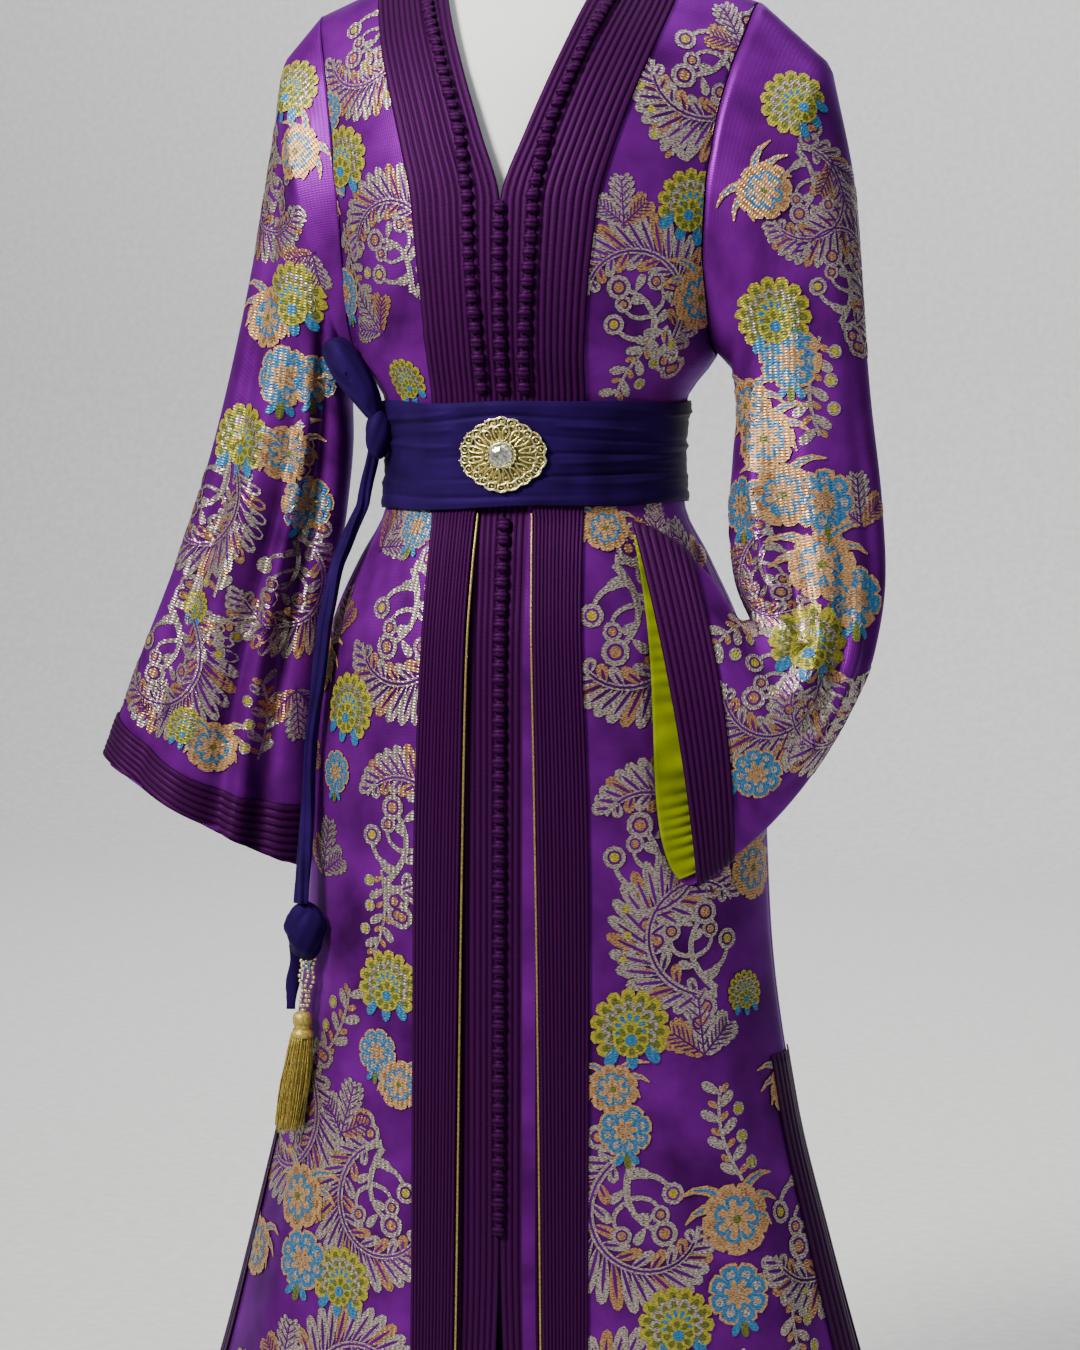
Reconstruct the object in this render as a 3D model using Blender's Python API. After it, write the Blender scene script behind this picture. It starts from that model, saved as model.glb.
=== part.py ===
# A brocade kaftan with braided bands, knotted buttons, a wrapped sash and a filigree buckle, on a limbless
# dress form with a pole and a round base. Metres, +Z up. The front faces -Y and the wearer's right is -X.
# The origin is the middle of the base's underside.
# A place on the cloth is an angle round the body, 0 at the front and a quarter turn at the wearer's left, and
# a station. Up to the underarm a station is a height, and above it runs on over the shoulder to the ridge.

import math
from bisect import bisect_right

import bmesh
import bpy
from mathutils import Vector

GAP = 0.0003
WALL = 0.002
BAND_THICK = 0.0018
STRIP_THICK = 0.0012

HEM = 0.008
UNDERARM = 1.12
YOKE_RISE = 0.355
RIDGE_STATION = UNDERARM + YOKE_RISE * math.pi / 2
SHOULDER_SLOPE = 0.385
NECK_HALF = 0.07
ROUNDNESS = 0.6

SASH_LOW = 0.985
SASH_HIGH = 1.078
SASH_MIDDLE = (SASH_LOW + SASH_HIGH) / 2
SASH_THICK = 0.0032
SASH_OVER_BANDS = 0.0030
SASH_EASE = 0.0019

V_POINT = 1.255
SLIT_TOP = 0.50
SLIT_DRAW = 0.007
SLIT_BAND_WIDTH = 0.030
SLIT_RIB_RISE = 0.0005
NECK_INNER = (0.078, 0.415)
NECK_OUTER = (0.140, 0.730)
NECK_BAND_WIDTH = 0.064
RIB_COLUMNS = 8
RIB_RISE = 0.0007

PLACKET_REACH = 0.064
PLACKET_THICK = 0.0022
PLACKET_RIB = 0.0006
PLACKET_DROP = 0.0035
PLACKET_SPLIT = 0.347
PLACKET_OPEN = 0.012
PIPING_RADIUS = 0.0012

KNOT_PITCH = 0.0129
LOWER_KNOT_PITCH = 0.0120
KNOT_WIDTH = 0.0092
KNOT_RISE = 0.0042
KNOT_TOP_SHARE = 0.55
KNOT_DIP = 0.0009
NECK_KNOTS = 18

BASE_RADIUS = 0.145
BASE_THICK = 0.016
POLE_RADIUS = 0.013
FORM_BOTTOM = 0.745

# height, half width, front depth, back depth and how far back the side seam lies
BODY = (
    (0.008, 0.345, 0.186, 0.262, 0.020),
    (0.120, 0.318, 0.162, 0.245, 0.018),
    (0.225, 0.289, 0.143, 0.225, 0.015),
    (0.330, 0.262, 0.138, 0.205, 0.012),
    (0.450, 0.234, 0.134, 0.185, 0.009),
    (0.600, 0.214, 0.130, 0.168, 0.006),
    (0.750, 0.207, 0.126, 0.158, 0.003),
    (0.870, 0.188, 0.121, 0.146, 0.000),
    (0.940, 0.158, 0.111, 0.124, 0.000),
    (0.985, 0.136, 0.102, 0.106, 0.000),
    (1.030, 0.132, 0.099, 0.099, 0.000),
    (1.078, 0.137, 0.102, 0.100, 0.001),
    (1.120, 0.165, 0.114, 0.106, 0.004),
    (1.200, 0.184, 0.126, 0.112, 0.008),
    (1.280, 0.200, 0.130, 0.118, 0.012),
    (1.345, 0.212, 0.128, 0.122, 0.015),
    (1.400, 0.222, 0.122, 0.122, 0.018),
    (1.440, 0.230, 0.112, 0.116, 0.020),
    (1.475, 0.237, 0.108, 0.112, 0.020),
)

# height and how far the armhole's edge lies from the middle
ARMHOLE = (
    (1.120, 0.1650),
    (1.200, 0.1630),
    (1.280, 0.1660),
    (1.345, 0.1740),
    (1.400, 0.1840),
    (1.440, 0.1930),
    (1.475, 0.2000),
)

# height, and the outer and inner edge of the front braid from the middle
FRONT_EDGES = (
    (0.008, 0.0840, 0.0450),
    (0.225, 0.0810, 0.0410),
    (0.665, 0.0790, 0.0350),
    (0.980, 0.0680, 0.0260),
    (1.010, 0.0675, 0.0120),
    (1.050, 0.0680, 0.0002),
    (1.080, 0.0685, 0.0002),
    (1.250, 0.0830, 0.0002),
    (1.2595, 0.0845, 0.0018),
    (1.305, 0.0960, 0.0183),
    (1.440, 0.1330, 0.0675),
    (1.475, 0.1400, 0.0780),
)

# soft folds of the skirt: angle in degrees, half width in degrees, depth at the hem, height where each dies out
FOLDS = (
    (-148, 11, 0.012, 0.98),
    (-118, 12, 0.014, 0.94),
    (-86, 9, 0.010, 0.80),
    (-52, 8, 0.008, 0.86),
    (36, 7, 0.007, 0.78),
    (58, 9, 0.010, 0.90),
    (88, 9, 0.012, 0.80),
    (122, 12, 0.014, 0.95),
    (152, 11, 0.012, 0.98),
    (180, 10, 0.010, 0.96),
    (-180, 10, 0.010, 0.96),
)

# sleeve sections from the shoulder to the mouth. The outer and inner edge are each X, Y and Z on the wearer's
# left, then the half thickness, the way that the flat faces, in degrees from the front, and how far it bows
HANGING = (
    (0.236, 0.018, 1.388, 0.172, 0.004, 1.118, 0.062, 0, 0.000),
    (0.254, 0.016, 1.285, 0.175, 0.004, 1.085, 0.050, 0, 0.000),
    (0.275, 0.014, 1.178, 0.174, 0.006, 1.045, 0.042, 0, 0.000),
    (0.308, 0.012, 1.043, 0.181, 0.008, 0.975, 0.038, 0, 0.000),
    (0.345, 0.012, 0.935, 0.200, 0.012, 0.895, 0.036, 0, 0.000),
    (0.385, 0.014, 0.840, 0.216, 0.016, 0.785, 0.033, 0, 0.006),
    (0.422, 0.018, 0.748, 0.226, 0.020, 0.648, 0.030, 0, 0.016),
)
TUCKED = (
    (0.262, 0.020, 1.370, 0.180, 0.003, 1.105, 0.062, 0, 0.000),
    (0.286, 0.012, 1.260, 0.184, 0.001, 1.070, 0.050, 4, 0.000),
    (0.294, 0.006, 1.170, 0.181, -0.002, 1.030, 0.044, 6, 0.000),
    (0.303, 0.000, 1.080, 0.180, -0.012, 0.990, 0.040, 8, 0.000),
    (0.314, -0.003, 0.992, 0.184, -0.024, 0.948, 0.035, 12, 0.000),
    (0.319, -0.012, 0.922, 0.193, -0.037, 0.915, 0.030, 18, 0.004),
    (0.312, -0.026, 0.860, 0.206, -0.049, 0.892, 0.026, 24, 0.008),
    (0.292, -0.046, 0.806, 0.210, -0.059, 0.887, 0.022, 28, 0.012),
    (0.262, -0.066, 0.752, 0.202, -0.070, 0.889, 0.018, 30, 0.016),
    (0.224, -0.082, 0.706, 0.184, -0.080, 0.920, 0.015, 32, 0.018),
    (0.194, -0.090, 0.680, 0.152, -0.088, 0.953, 0.012, 32, 0.020),
    (0.170, -0.096, 0.662, 0.112, -0.094, 0.972, 0.010, 28, 0.020),
    (0.138, -0.106, 0.650, 0.076, -0.100, 0.973, 0.009, 24, 0.018),
)
HANGING_MOUTH = 7.0
TUCKED_MOUTH = 12.0
CUFF_GAP = 0.0008
LINING_THICK = 0.001
LINING_GAP = 0.0012
SLEEVE_CLEAR = 0.008
ARMHOLE_GAP = 0.0010
MOUTH_STEPS = 2
CUFF_RIGHT_ROWS = 0.42
CUFF_LEFT_ROWS = 1.25
LINING_REACH = 1.25

# the tail of the sash: height, angle in degrees and how far it stands out from the skirt
TAIL = (
    (1.036, -66, 0.0110),
    (0.990, -71, 0.0150),
    (0.936, -71, 0.0150),
    (0.882, -66, 0.0100),
    (0.810, -62, 0.0075),
    (0.720, -61, 0.0080),
    (0.660, -59, 0.0130),
    (0.630, -58, 0.0167),
)
TAIL_WIDTH = 0.018
TAIL_THICK = 0.0016
TAIL_RIDGE = 0.0012
TAIL_ANGLE = -58
TAIL_HANGS_OUT = 0.0175

# the standing loop of the sash: X and Z down its middle line, how far forward it lies and its half width
LOOP_PATH = (
    (-0.1312, 1.060),
    (-0.1520, 1.080),
    (-0.1730, 1.106),
    (-0.1760, 1.124),
    (-0.1650, 1.130),
    (-0.1470, 1.112),
    (-0.1335, 1.085),
)
LOOP_Y = -0.052
LOOP_HALF = 0.011

# the tassel's head: height and radius, then the radii between which its strands are rooted
TASSEL_HEAD = (
    (0.5300, 0.0040),
    (0.5270, 0.0085),
    (0.5190, 0.0088),
    (0.5150, 0.0072),
    (0.5110, 0.0100),
)
TASSEL_ROOTS = (0.0066, 0.0033)
STRAND_GAP = 0.00045
STRAND_FALL = 0.088
STRAND_FALL_SPREAD = 0.006

# the buckle, from its rim inwards: share of its outline and how far it rises. The second and fourth are bossed
BUCKLE_RINGS = (
    (1.00, 0.0016),
    (0.90, 0.0034),
    (0.74, 0.0024),
    (0.58, 0.0052),
    (0.42, 0.0034),
    (0.36, 0.0060),
)
BUCKLE_BOSSED = (0.90, 0.58)
BUCKLE_HALF = (0.0370, 0.0315)
STONE = ((0.0085, 0.0066), (0.0100, 0.0078), (0.0085, 0.0100), (0.0050, 0.0112))

# the dress form: height, half width, front depth and back depth
FORM_HIPS = (
    (0.745, 0.140, 0.092, 0.108),
    (0.790, 0.152, 0.098, 0.116),
    (0.860, 0.150, 0.096, 0.114),
    (0.930, 0.128, 0.086, 0.098),
    (1.000, 0.114, 0.082, 0.086),
    (1.060, 0.116, 0.084, 0.084),
    (1.120, 0.134, 0.098, 0.090),
)
FORM_TOP_ROW = 1.10
FORM_SIDES = 20
FORM_NECK_Y = 0.008
FORM_NECK = (
    (1.380, 0.050, 0.046),
    (1.455, 0.056, 0.052),
    (1.485, 0.052, 0.050),
    (1.520, 0.050, 0.049),
    (1.545, 0.051, 0.050),
)

COLOURS = {
    "brocade": (0.16, 0.03, 0.25, 1, 0.38, 0.25),
    "braid": (0.05, 0.006, 0.09, 1, 0.55, 0.0),
    "indigo": (0.026, 0.012, 0.14, 1, 0.6, 0.0),
    "lime": (0.34, 0.44, 0.01, 1, 0.35, 0.0),
    "gold": (0.62, 0.52, 0.22, 1, 0.35, 0.9),
    "thread": (0.45, 0.36, 0.10, 1, 0.55, 0.3),
    "crystal": (0.9, 0.88, 0.7, 1, 0.1, 0.0),
    "linen": (0.72, 0.75, 0.73, 1, 0.9, 0.0),
    "steel": (0.2, 0.2, 0.2, 1, 0.3, 1.0),
}


def smooth_column(rows, column):
    """One column of a table as a smooth curve over its first column, with no overshoot."""
    xs = [row[0] for row in rows]
    ys = [row[column] for row in rows]
    steps = [(ys[i + 1] - ys[i]) / (xs[i + 1] - xs[i]) for i in range(len(xs) - 1)]
    slopes = [steps[0]]
    for before, after in zip(steps, steps[1:]):
        slopes.append(0.0 if before * after <= 0 else 2 * before * after / (before + after))
    slopes.append(steps[-1])

    def read(x):
        x = min(max(x, xs[0]), xs[-1])
        i = min(max(bisect_right(xs, x) - 1, 0), len(steps) - 1)
        width = xs[i + 1] - xs[i]
        t = (x - xs[i]) / width
        return (
            ys[i] * (1 + 2 * t) * (1 - t) ** 2
            + slopes[i] * width * t * (1 - t) ** 2
            + ys[i + 1] * t * t * (3 - 2 * t)
            - slopes[i + 1] * width * t * t * (1 - t)
        )

    return read


half_width = smooth_column(BODY, 1)
front_depth = smooth_column(BODY, 2)
back_depth = smooth_column(BODY, 3)
seam_back = smooth_column(BODY, 4)
arm_edge = smooth_column(ARMHOLE, 1)
band_outer = smooth_column(FRONT_EDGES, 1)
band_inner = smooth_column(FRONT_EDGES, 2)
tail_angle = smooth_column(tuple(reversed(TAIL)), 1)
tail_out = smooth_column(tuple(reversed(TAIL)), 2)


def smooth_step(low, high, value):
    t = min(max((value - low) / (high - low), 0.0), 1.0)
    return t * t * (3 - 2 * t)


def station_height(station):
    """The height at the side of the neck that a station stands for."""
    if station <= UNDERARM:
        return station
    return UNDERARM + YOKE_RISE * math.sin(min((station - UNDERARM) / YOKE_RISE, math.pi / 2))


def height_station(height):
    if height <= UNDERARM:
        return height
    return UNDERARM + YOKE_RISE * math.asin(min((height - UNDERARM) / YOKE_RISE, 1.0))


def round_over(station):
    """How much of the body's depth is left as the yoke closes over the shoulder."""
    if station <= UNDERARM:
        return 1.0
    turn = min((station - UNDERARM) / YOKE_RISE, math.pi / 2)
    return max(math.cos(turn), 0.0) ** ROUNDNESS


def shoulder_line(x):
    """The height of the shoulder ridge."""
    past = max(abs(x) - NECK_HALF, 0.0)
    return UNDERARM + YOKE_RISE - SHOULDER_SLOPE * past


def fold_depth(angle, height):
    turn = math.degrees(angle)
    total = 0.0
    for middle, spread, depth, top in FOLDS:
        if height < top:
            along = 1 - (height - HEM) / (top - HEM)
            total += depth * along ** 1.3 * math.exp(-(((turn - middle) / spread) ** 2))
    return total


def body_point(angle, station, width_less=0.0, depth_less=0.0):
    """A point on the cloth's outer face, or on a body that much smaller."""
    height = station_height(station)
    fore = math.cos(angle)
    depth = front_depth(height) if fore > 0 else back_depth(height)
    depth = (depth - depth_less) * round_over(station)
    out = fold_depth(angle, height) if depth_less == 0.0 else 0.0
    x = (half_width(height) - width_less + out) * math.sin(angle)
    y = seam_back(height) - (depth + out * abs(fore)) * fore
    rise = (height - UNDERARM) / YOKE_RISE
    z = height if rise <= 0 else UNDERARM + (shoulder_line(x) - UNDERARM) * rise
    return Vector((x, y, z))


def body_normal(angle, station):
    small = 0.002
    across = body_point(angle + small, station) - body_point(angle - small, station)
    low = body_point(angle, station - small)
    high = body_point(angle, min(station + small, RIDGE_STATION - 1e-5))
    normal = across.cross(high - low)
    return normal.normalized()


def cloth(angle, station, out=0.0, flat=False):
    """A point that much outside the cloth's outer face. On a seam the way out stays in the seam's plane."""
    place = body_point(angle, station)
    if out == 0.0:
        return place
    way = body_normal(angle, station)
    if flat:
        way.y = 0.0
        way.normalize()
    return place + way * out


def angle_at(x, station):
    """The angle in front where the cloth lies that far from the middle."""
    share = min(max(x / half_width(station_height(station)), -1.0), 1.0)
    return math.asin(share)


def arm_angle(station):
    """The angle of the armhole's edge, a quarter turn below the underarm."""
    if station <= UNDERARM:
        return math.pi / 2
    height = station_height(station)
    return math.asin(min(arm_edge(height) / half_width(height), 1.0))


def slit_angle(station, depth):
    """How far the side edge draws back from the seam down the slit."""
    open_by = SLIT_DRAW * (1 - smooth_step(HEM, SLIT_TOP, station))
    return open_by / depth


def material(name):
    red, green, blue, alpha, rough, metal = COLOURS[name]
    made = bpy.data.materials.get(name) or bpy.data.materials.new(name)
    made.use_nodes = True
    shader = made.node_tree.nodes["Principled BSDF"]
    shader.inputs["Base Color"].default_value = (red, green, blue, alpha)
    shader.inputs["Roughness"].default_value = rough
    shader.inputs["Metallic"].default_value = metal
    made.diffuse_color = (red, green, blue, alpha)
    return made


def add_object(name, mesh, colour):
    mesh.shade_smooth()
    mesh.set_sharp_from_angle(angle=math.radians(40))
    piece = bpy.data.objects.new(name, mesh)
    bpy.context.scene.collection.objects.link(piece)
    own = material(colour).copy()
    own.name = f"{colour}_{name}"
    mesh.materials.append(own)
    return piece


def solid(name, points, faces, colour):
    """One closed body from points and faces, with its faces turned outwards."""
    mesh = bpy.data.meshes.new(name)
    work = bmesh.new()
    verts = [work.verts.new(point) for point in points]
    work.verts.index_update()
    for face in faces:
        corners = [verts[i] for i in face]
        if len(set(corners)) == len(corners):
            work.faces.new(corners)
    bmesh.ops.remove_doubles(work, verts=work.verts, dist=1e-6)
    bmesh.ops.recalc_face_normals(work, faces=work.faces)
    work.to_mesh(mesh)
    work.free()
    return add_object(name, mesh, colour)


def walled(name, outer, inner, colour, ring=False):
    """A wall between two grids of points with the same rows and columns. A ring's columns close up."""
    rows = len(outer)
    columns = len(outer[0])
    points = [point for row in outer for point in row] + [point for row in inner for point in row]
    count = rows * columns

    def index(side, row, column):
        return side * count + row * columns + column % columns

    faces = []
    across = columns if ring else columns - 1
    for row in range(rows - 1):
        for column in range(across):
            for side in (0, 1):
                faces.append((
                    index(side, row, column),
                    index(side, row, column + 1),
                    index(side, row + 1, column + 1),
                    index(side, row + 1, column),
                ))
    for column in range(across):
        for row in (0, rows - 1):
            faces.append((
                index(0, row, column),
                index(0, row, column + 1),
                index(1, row, column + 1),
                index(1, row, column),
            ))
    if not ring:
        for row in range(rows - 1):
            for column in (0, columns - 1):
                faces.append((
                    index(0, row, column),
                    index(0, row + 1, column),
                    index(1, row + 1, column),
                    index(1, row, column),
                ))
    return solid(name, points, faces, colour)


def spread(low, high, count):
    return [low + (high - low) * i / (count - 1) for i in range(count)]


def panel_stations(low):
    """Rows closer together at the waist and round the armhole than down the skirt."""
    rows = [low, 0.12, 0.24, 0.37, SLIT_TOP, 0.62, 0.74, 0.83, 0.90, 0.95]
    rows += [0.982, 1.03, 1.08, UNDERARM, UNDERARM + 0.010, UNDERARM + 0.035]
    rows += spread(UNDERARM + 0.09, RIDGE_STATION, 7)
    return rows


STATIONS = panel_stations(HEM)
NECK_STEPS = spread(-1, 1, 11)
SLEEVE_TURNS = spread(0, 2 * math.pi, 19)[:-1]


def edge_angles(station, front):
    """The angle of a panel's side edge, and of the inner edge of the slit's braid."""
    height = station_height(station)
    depth = front_depth(height) if front else back_depth(height)
    edge = arm_angle(station) - slit_angle(station, depth)
    return edge, edge - SLIT_BAND_WIDTH / depth


def front_columns(station):
    """Angles across a front: under the braid, across the brocade, and under the slit's braid."""
    height = station_height(station)
    low, high = band_inner(height), band_outer(height)
    angles = [angle_at(low + (high - low) * i / 4, station) for i in range(5)]
    last, before = edge_angles(station, True)
    if station > UNDERARM:
        before = last - (last - angles[-1]) / 7
    return angles + spread(angles[-1], before, 7)[1:] + [last]


def make_front(side):
    """One front, from its parted edge under the braid to the side seam and the armhole."""
    outer, inner = [], []
    for station in STATIONS:
        height = station_height(station)
        ridge = station > RIDGE_STATION - 1e-6
        angles = front_columns(station)
        outer_row, inner_row = [], []
        for number, angle in enumerate(angles):
            at_side = number == len(angles) - 1 and station <= UNDERARM
            top = cloth(side * angle, station)
            low = cloth(side * angle, station, -WALL, flat=at_side or ridge)
            if ridge or (at_side and station >= SLIT_TOP):
                top.y -= GAP / 2
                low.y -= GAP / 2
            outer_row.append(top)
            inner_row.append(low)
        outer.append(outer_row)
        inner.append(inner_row)
    return walled("front_right" if side < 0 else "front_left", outer, inner, "brocade")


def neck_turn(along, edge, spare=0.0):
    """A place on an edge of the back neck braid, from -1 at one shoulder to 1 at the other."""
    reach, drop = edge
    x = (reach + spare) * math.sin(along * math.pi / 2)
    station = RIDGE_STATION - (YOKE_RISE * drop + spare) * math.cos(along * math.pi / 2)
    return x, station


def back_angle(x, station):
    return math.pi - angle_at(x, station)


def neck_columns():
    """Shares of the way to the back's side edge that line up with the back neck braid."""
    reach = arm_angle(RIDGE_STATION)
    wide = half_width(station_height(RIDGE_STATION))
    middle = []
    for along in NECK_STEPS:
        x = (NECK_OUTER[0] + 2 * GAP) * math.sin(along * math.pi / 2)
        middle.append(math.asin(x / wide) / reach)
    return middle


def make_back():
    """The back, from side seam to side seam and up to the shoulder ridge and the neck braid."""
    outer, inner = [], []
    shares = neck_columns()
    for station in STATIONS:
        reach, before = edge_angles(station, False)
        middle = [share * reach for share in shares]
        if station > UNDERARM:
            before = reach - (reach - middle[-1]) / 4
        side = spread(middle[-1], before, 4)[1:] + [reach]
        columns = [-turn for turn in reversed(side)] + middle + side
        climb = (station - UNDERARM) / (RIDGE_STATION - UNDERARM)
        outer_row, inner_row = [], []
        for number, turn in enumerate(columns):
            row_station = station
            along = number - 4
            if station > UNDERARM and 0 <= along < len(NECK_STEPS):
                x, limit = neck_turn(NECK_STEPS[along], NECK_OUTER, 2 * GAP)
                row_station = UNDERARM + (limit - UNDERARM) * climb
                now = half_width(station_height(station)) * math.sin(turn)
                x = now + (x - now) * climb
                turn = angle_at(x, row_station)
            angle = math.pi - turn
            at_side = number in (0, len(columns) - 1) and station <= UNDERARM
            ridge = row_station > RIDGE_STATION - 1e-6
            top = cloth(angle, row_station)
            low = cloth(angle, row_station, -WALL, flat=at_side or ridge)
            if ridge or (at_side and station >= SLIT_TOP):
                top.y += GAP / 2
                low.y += GAP / 2
            outer_row.append(top)
            inner_row.append(low)
        outer.append(outer_row)
        inner.append(inner_row)
    return walled("back", outer, inner, "brocade")


def make_band(side):
    """One front braid, laid on its front from the hem over the shoulder ridge."""
    outer, inner = [], []
    for station in STATIONS:
        height = station_height(station)
        ridge = station > RIDGE_STATION - 1e-6
        low, high = band_inner(height), band_outer(height)
        outer_row, inner_row = [], []
        for i in range(RIB_COLUMNS + 1):
            share = i / RIB_COLUMNS
            angle = side * angle_at(low + (high - low) * share, station)
            rise = 0.0 if i % 2 == 0 else RIB_RISE
            top = cloth(angle, station, GAP + BAND_THICK + rise, flat=ridge)
            foot = cloth(angle, station, GAP, flat=ridge)
            if ridge:
                top.y -= GAP / 2
                foot.y -= GAP / 2
            outer_row.append(top)
            inner_row.append(foot)
        outer.append(outer_row)
        inner.append(inner_row)
    return walled("band_right" if side < 0 else "band_left", outer, inner, "braid")


def neck_point(along, share, out):
    """A point on the back neck braid, by how far round and how far across from the neck's edge."""
    x_in, station_in = neck_turn(along, NECK_INNER)
    x_out, station_out = neck_turn(along, NECK_OUTER)
    x = x_in + (x_out - x_in) * share
    station = station_in + (station_out - station_in) * share
    ridge = abs(along) > 1 - 1e-6
    place = cloth(back_angle(x, station), station, out, flat=ridge)
    if ridge:
        place.y += GAP / 2
    return place


def make_neck_band():
    outer, inner = [], []
    for along in NECK_STEPS:
        outer_row, inner_row = [], []
        for i in range(RIB_COLUMNS + 1):
            rise = 0.0 if i % 2 == 0 else RIB_RISE
            outer_row.append(neck_point(along, i / RIB_COLUMNS, GAP + BAND_THICK + rise))
            inner_row.append(neck_point(along, i / RIB_COLUMNS, -WALL))
        outer.append(outer_row)
        inner.append(inner_row)
    return walled("band_neck", outer, inner, "braid")


def placket_out(station):
    """How far the under-front's outer face lies behind the front's outer face."""
    return -WALL - GAP - PLACKET_DROP * (1 - smooth_step(0.90, 0.975, station))


def make_placket(side):
    """One under-front, recessed between the parted fronts and slit low down."""
    outer, inner = [], []
    for station in [row for row in STATIONS if row < 1.05]:
        low = PLACKET_OPEN * (1 - smooth_step(HEM, PLACKET_SPLIT, station)) + GAP / 2
        outer_row, inner_row = [], []
        for i in range(6):
            x = low + (PLACKET_REACH - low) * i / 5
            dip = 0.0 if i in (1, 3) else PLACKET_RIB
            angle = side * angle_at(x, station)
            outer_row.append(cloth(angle, station, placket_out(station) - dip))
            inner_row.append(cloth(angle, station, placket_out(station) - PLACKET_THICK))
        outer.append(outer_row)
        inner.append(inner_row)
    return walled("placket_right" if side < 0 else "placket_left", outer, inner, "braid")


def make_slit_band(side, front):
    """Braid laid on one edge of a side slit."""
    outer, inner = [], []
    for station in [row for row in STATIONS if row < SLIT_TOP + 0.001]:
        angles = edge_angles(station, front)
        if not front:
            angles = [math.pi - angle for angle in angles]
        outer_row, inner_row = [], []
        for i in range(5):
            share = 0.02 + 0.96 * i / 4
            rise = SLIT_RIB_RISE if i % 2 else 0.0
            tops = [cloth(side * angle, station, 2 * GAP + STRIP_THICK + rise) for angle in angles]
            feet = [cloth(side * angle, station, 2 * GAP) for angle in angles]
            outer_row.append(tops[0].lerp(tops[1], share))
            inner_row.append(feet[0].lerp(feet[1], share))
        outer.append(outer_row)
        inner.append(inner_row)
    where = "front" if front else "back"
    hand = "right" if side < 0 else "left"
    return walled(f"slit_band_{where}_{hand}", outer, inner, "braid")


def on_facets(place, station):
    """A place read between the rows of the panel underneath, so that what lies on it stays clear of it."""
    row = min(max(bisect_right(STATIONS, station) - 1, 0), len(STATIONS) - 2)
    low, high = STATIONS[row], STATIONS[row + 1]
    return place(low).lerp(place(high), (station - low) / (high - low))


def make_piping(side):
    """A thin gold cord along the parted edge below the sash."""
    rows = []
    for station in [row for row in STATIONS if row < SASH_LOW - 0.004]:
        height = station_height(station)
        x = band_inner(height) - GAP - PIPING_RADIUS
        angle = side * angle_at(x, station)
        middle = cloth(angle, station, -0.0004)
        way = body_normal(angle, station)
        over = way.cross(Vector((0, 0, 1))).normalized()
        rows.append([
            middle + (way * math.sin(turn) + over * math.cos(turn)) * PIPING_RADIUS
            for turn in spread(0, 2 * math.pi, 6)[:-1]
        ])
    return tube("piping_right" if side < 0 else "piping_left", rows, "gold")


def tube(name, rows, colour):
    """A closed tube through rings of points, with its ends filled."""
    size = len(rows[0])
    points = [point for row in rows for point in row]
    faces = []
    for row in range(len(rows) - 1):
        for i in range(size):
            j = (i + 1) % size
            faces.append((row * size + i, row * size + j, (row + 1) * size + j, (row + 1) * size + i))
    faces.append(tuple(range(size)))
    faces.append(tuple(range((len(rows) - 1) * size, len(rows) * size)))
    return solid(name, points, faces, colour)


def make_knots(name, place, count):
    """A tape of knotted buttons: a flat strip whose top rises into one knot after another."""
    half = KNOT_WIDTH / 2
    top = half * KNOT_TOP_SHARE
    lines = []
    for row in range(2 * count + 1):
        share = row / (2 * count)
        rise = KNOT_RISE if row % 2 else KNOT_DIP
        lines.append([
            place(share, -half, 0.0),
            place(share, -top, rise),
            place(share, top, rise),
            place(share, half, 0.0),
        ])
    return tube(name, lines, "braid")


def make_front_knots(side):
    """The row beside the neck edge, from the shoulder ridge down to the sash."""
    low = SASH_HIGH + 0.006
    high = RIDGE_STATION - 0.004
    base = 3 * GAP + BAND_THICK + RIB_RISE

    def place(share, across, out):
        station = high + (low - high) * share
        height = station_height(station)
        beside_v = smooth_step(1.08, V_POINT, height) * (1 - smooth_step(V_POINT, 1.32, height))
        from_edge = 0.0185 + 0.010 * beside_v + across

        def at_row(row):
            x = band_inner(station_height(row)) + from_edge
            return cloth(side * angle_at(x, row), row, base + out)

        return on_facets(at_row, station)

    count = round((RIDGE_STATION - low) / KNOT_PITCH)
    return make_knots("knots_right" if side < 0 else "knots_left", place, count)


def make_middle_knots():
    low, high = SASH_HIGH + 0.006, V_POINT - 0.006
    base = 2 * GAP + BAND_THICK + RIB_RISE

    def place(share, across, out):
        station = height_station(high + (low - high) * share)
        return on_facets(lambda row: cloth(angle_at(across, row), row, base + out), station)

    return make_knots("knots_middle", place, round((high - low) / KNOT_PITCH))


def make_lower_knots():
    low, high = PLACKET_SPLIT, SASH_LOW - 0.008

    def place(share, across, out):
        station = high + (low - high) * share
        return on_facets(
            lambda row: cloth(angle_at(across, row), row, placket_out(row) + GAP + out), station
        )

    return make_knots("knots_lower", place, round((high - low) / LOWER_KNOT_PITCH))


def make_neck_knots():
    base = 2 * GAP + BAND_THICK + RIB_RISE
    span = 0.97

    def place(share, across, out):
        along = -span + 2 * span * share
        return neck_point(along, 0.30 - across / NECK_BAND_WIDTH, base + out)

    return make_knots("knots_neck", place, NECK_KNOTS)


def section_reader(rows):
    """A sleeve section at any place between the rows of its table."""
    indexed = [(i + 1,) + row for i, row in enumerate(rows)]
    columns = [smooth_column(indexed, i + 1) for i in range(len(rows[0]))]

    def read(row):
        values = [column(row) for column in columns]
        return Vector(values[0:3]), Vector(values[3:6]), values[6], math.radians(values[7]), values[8]

    return read


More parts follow.
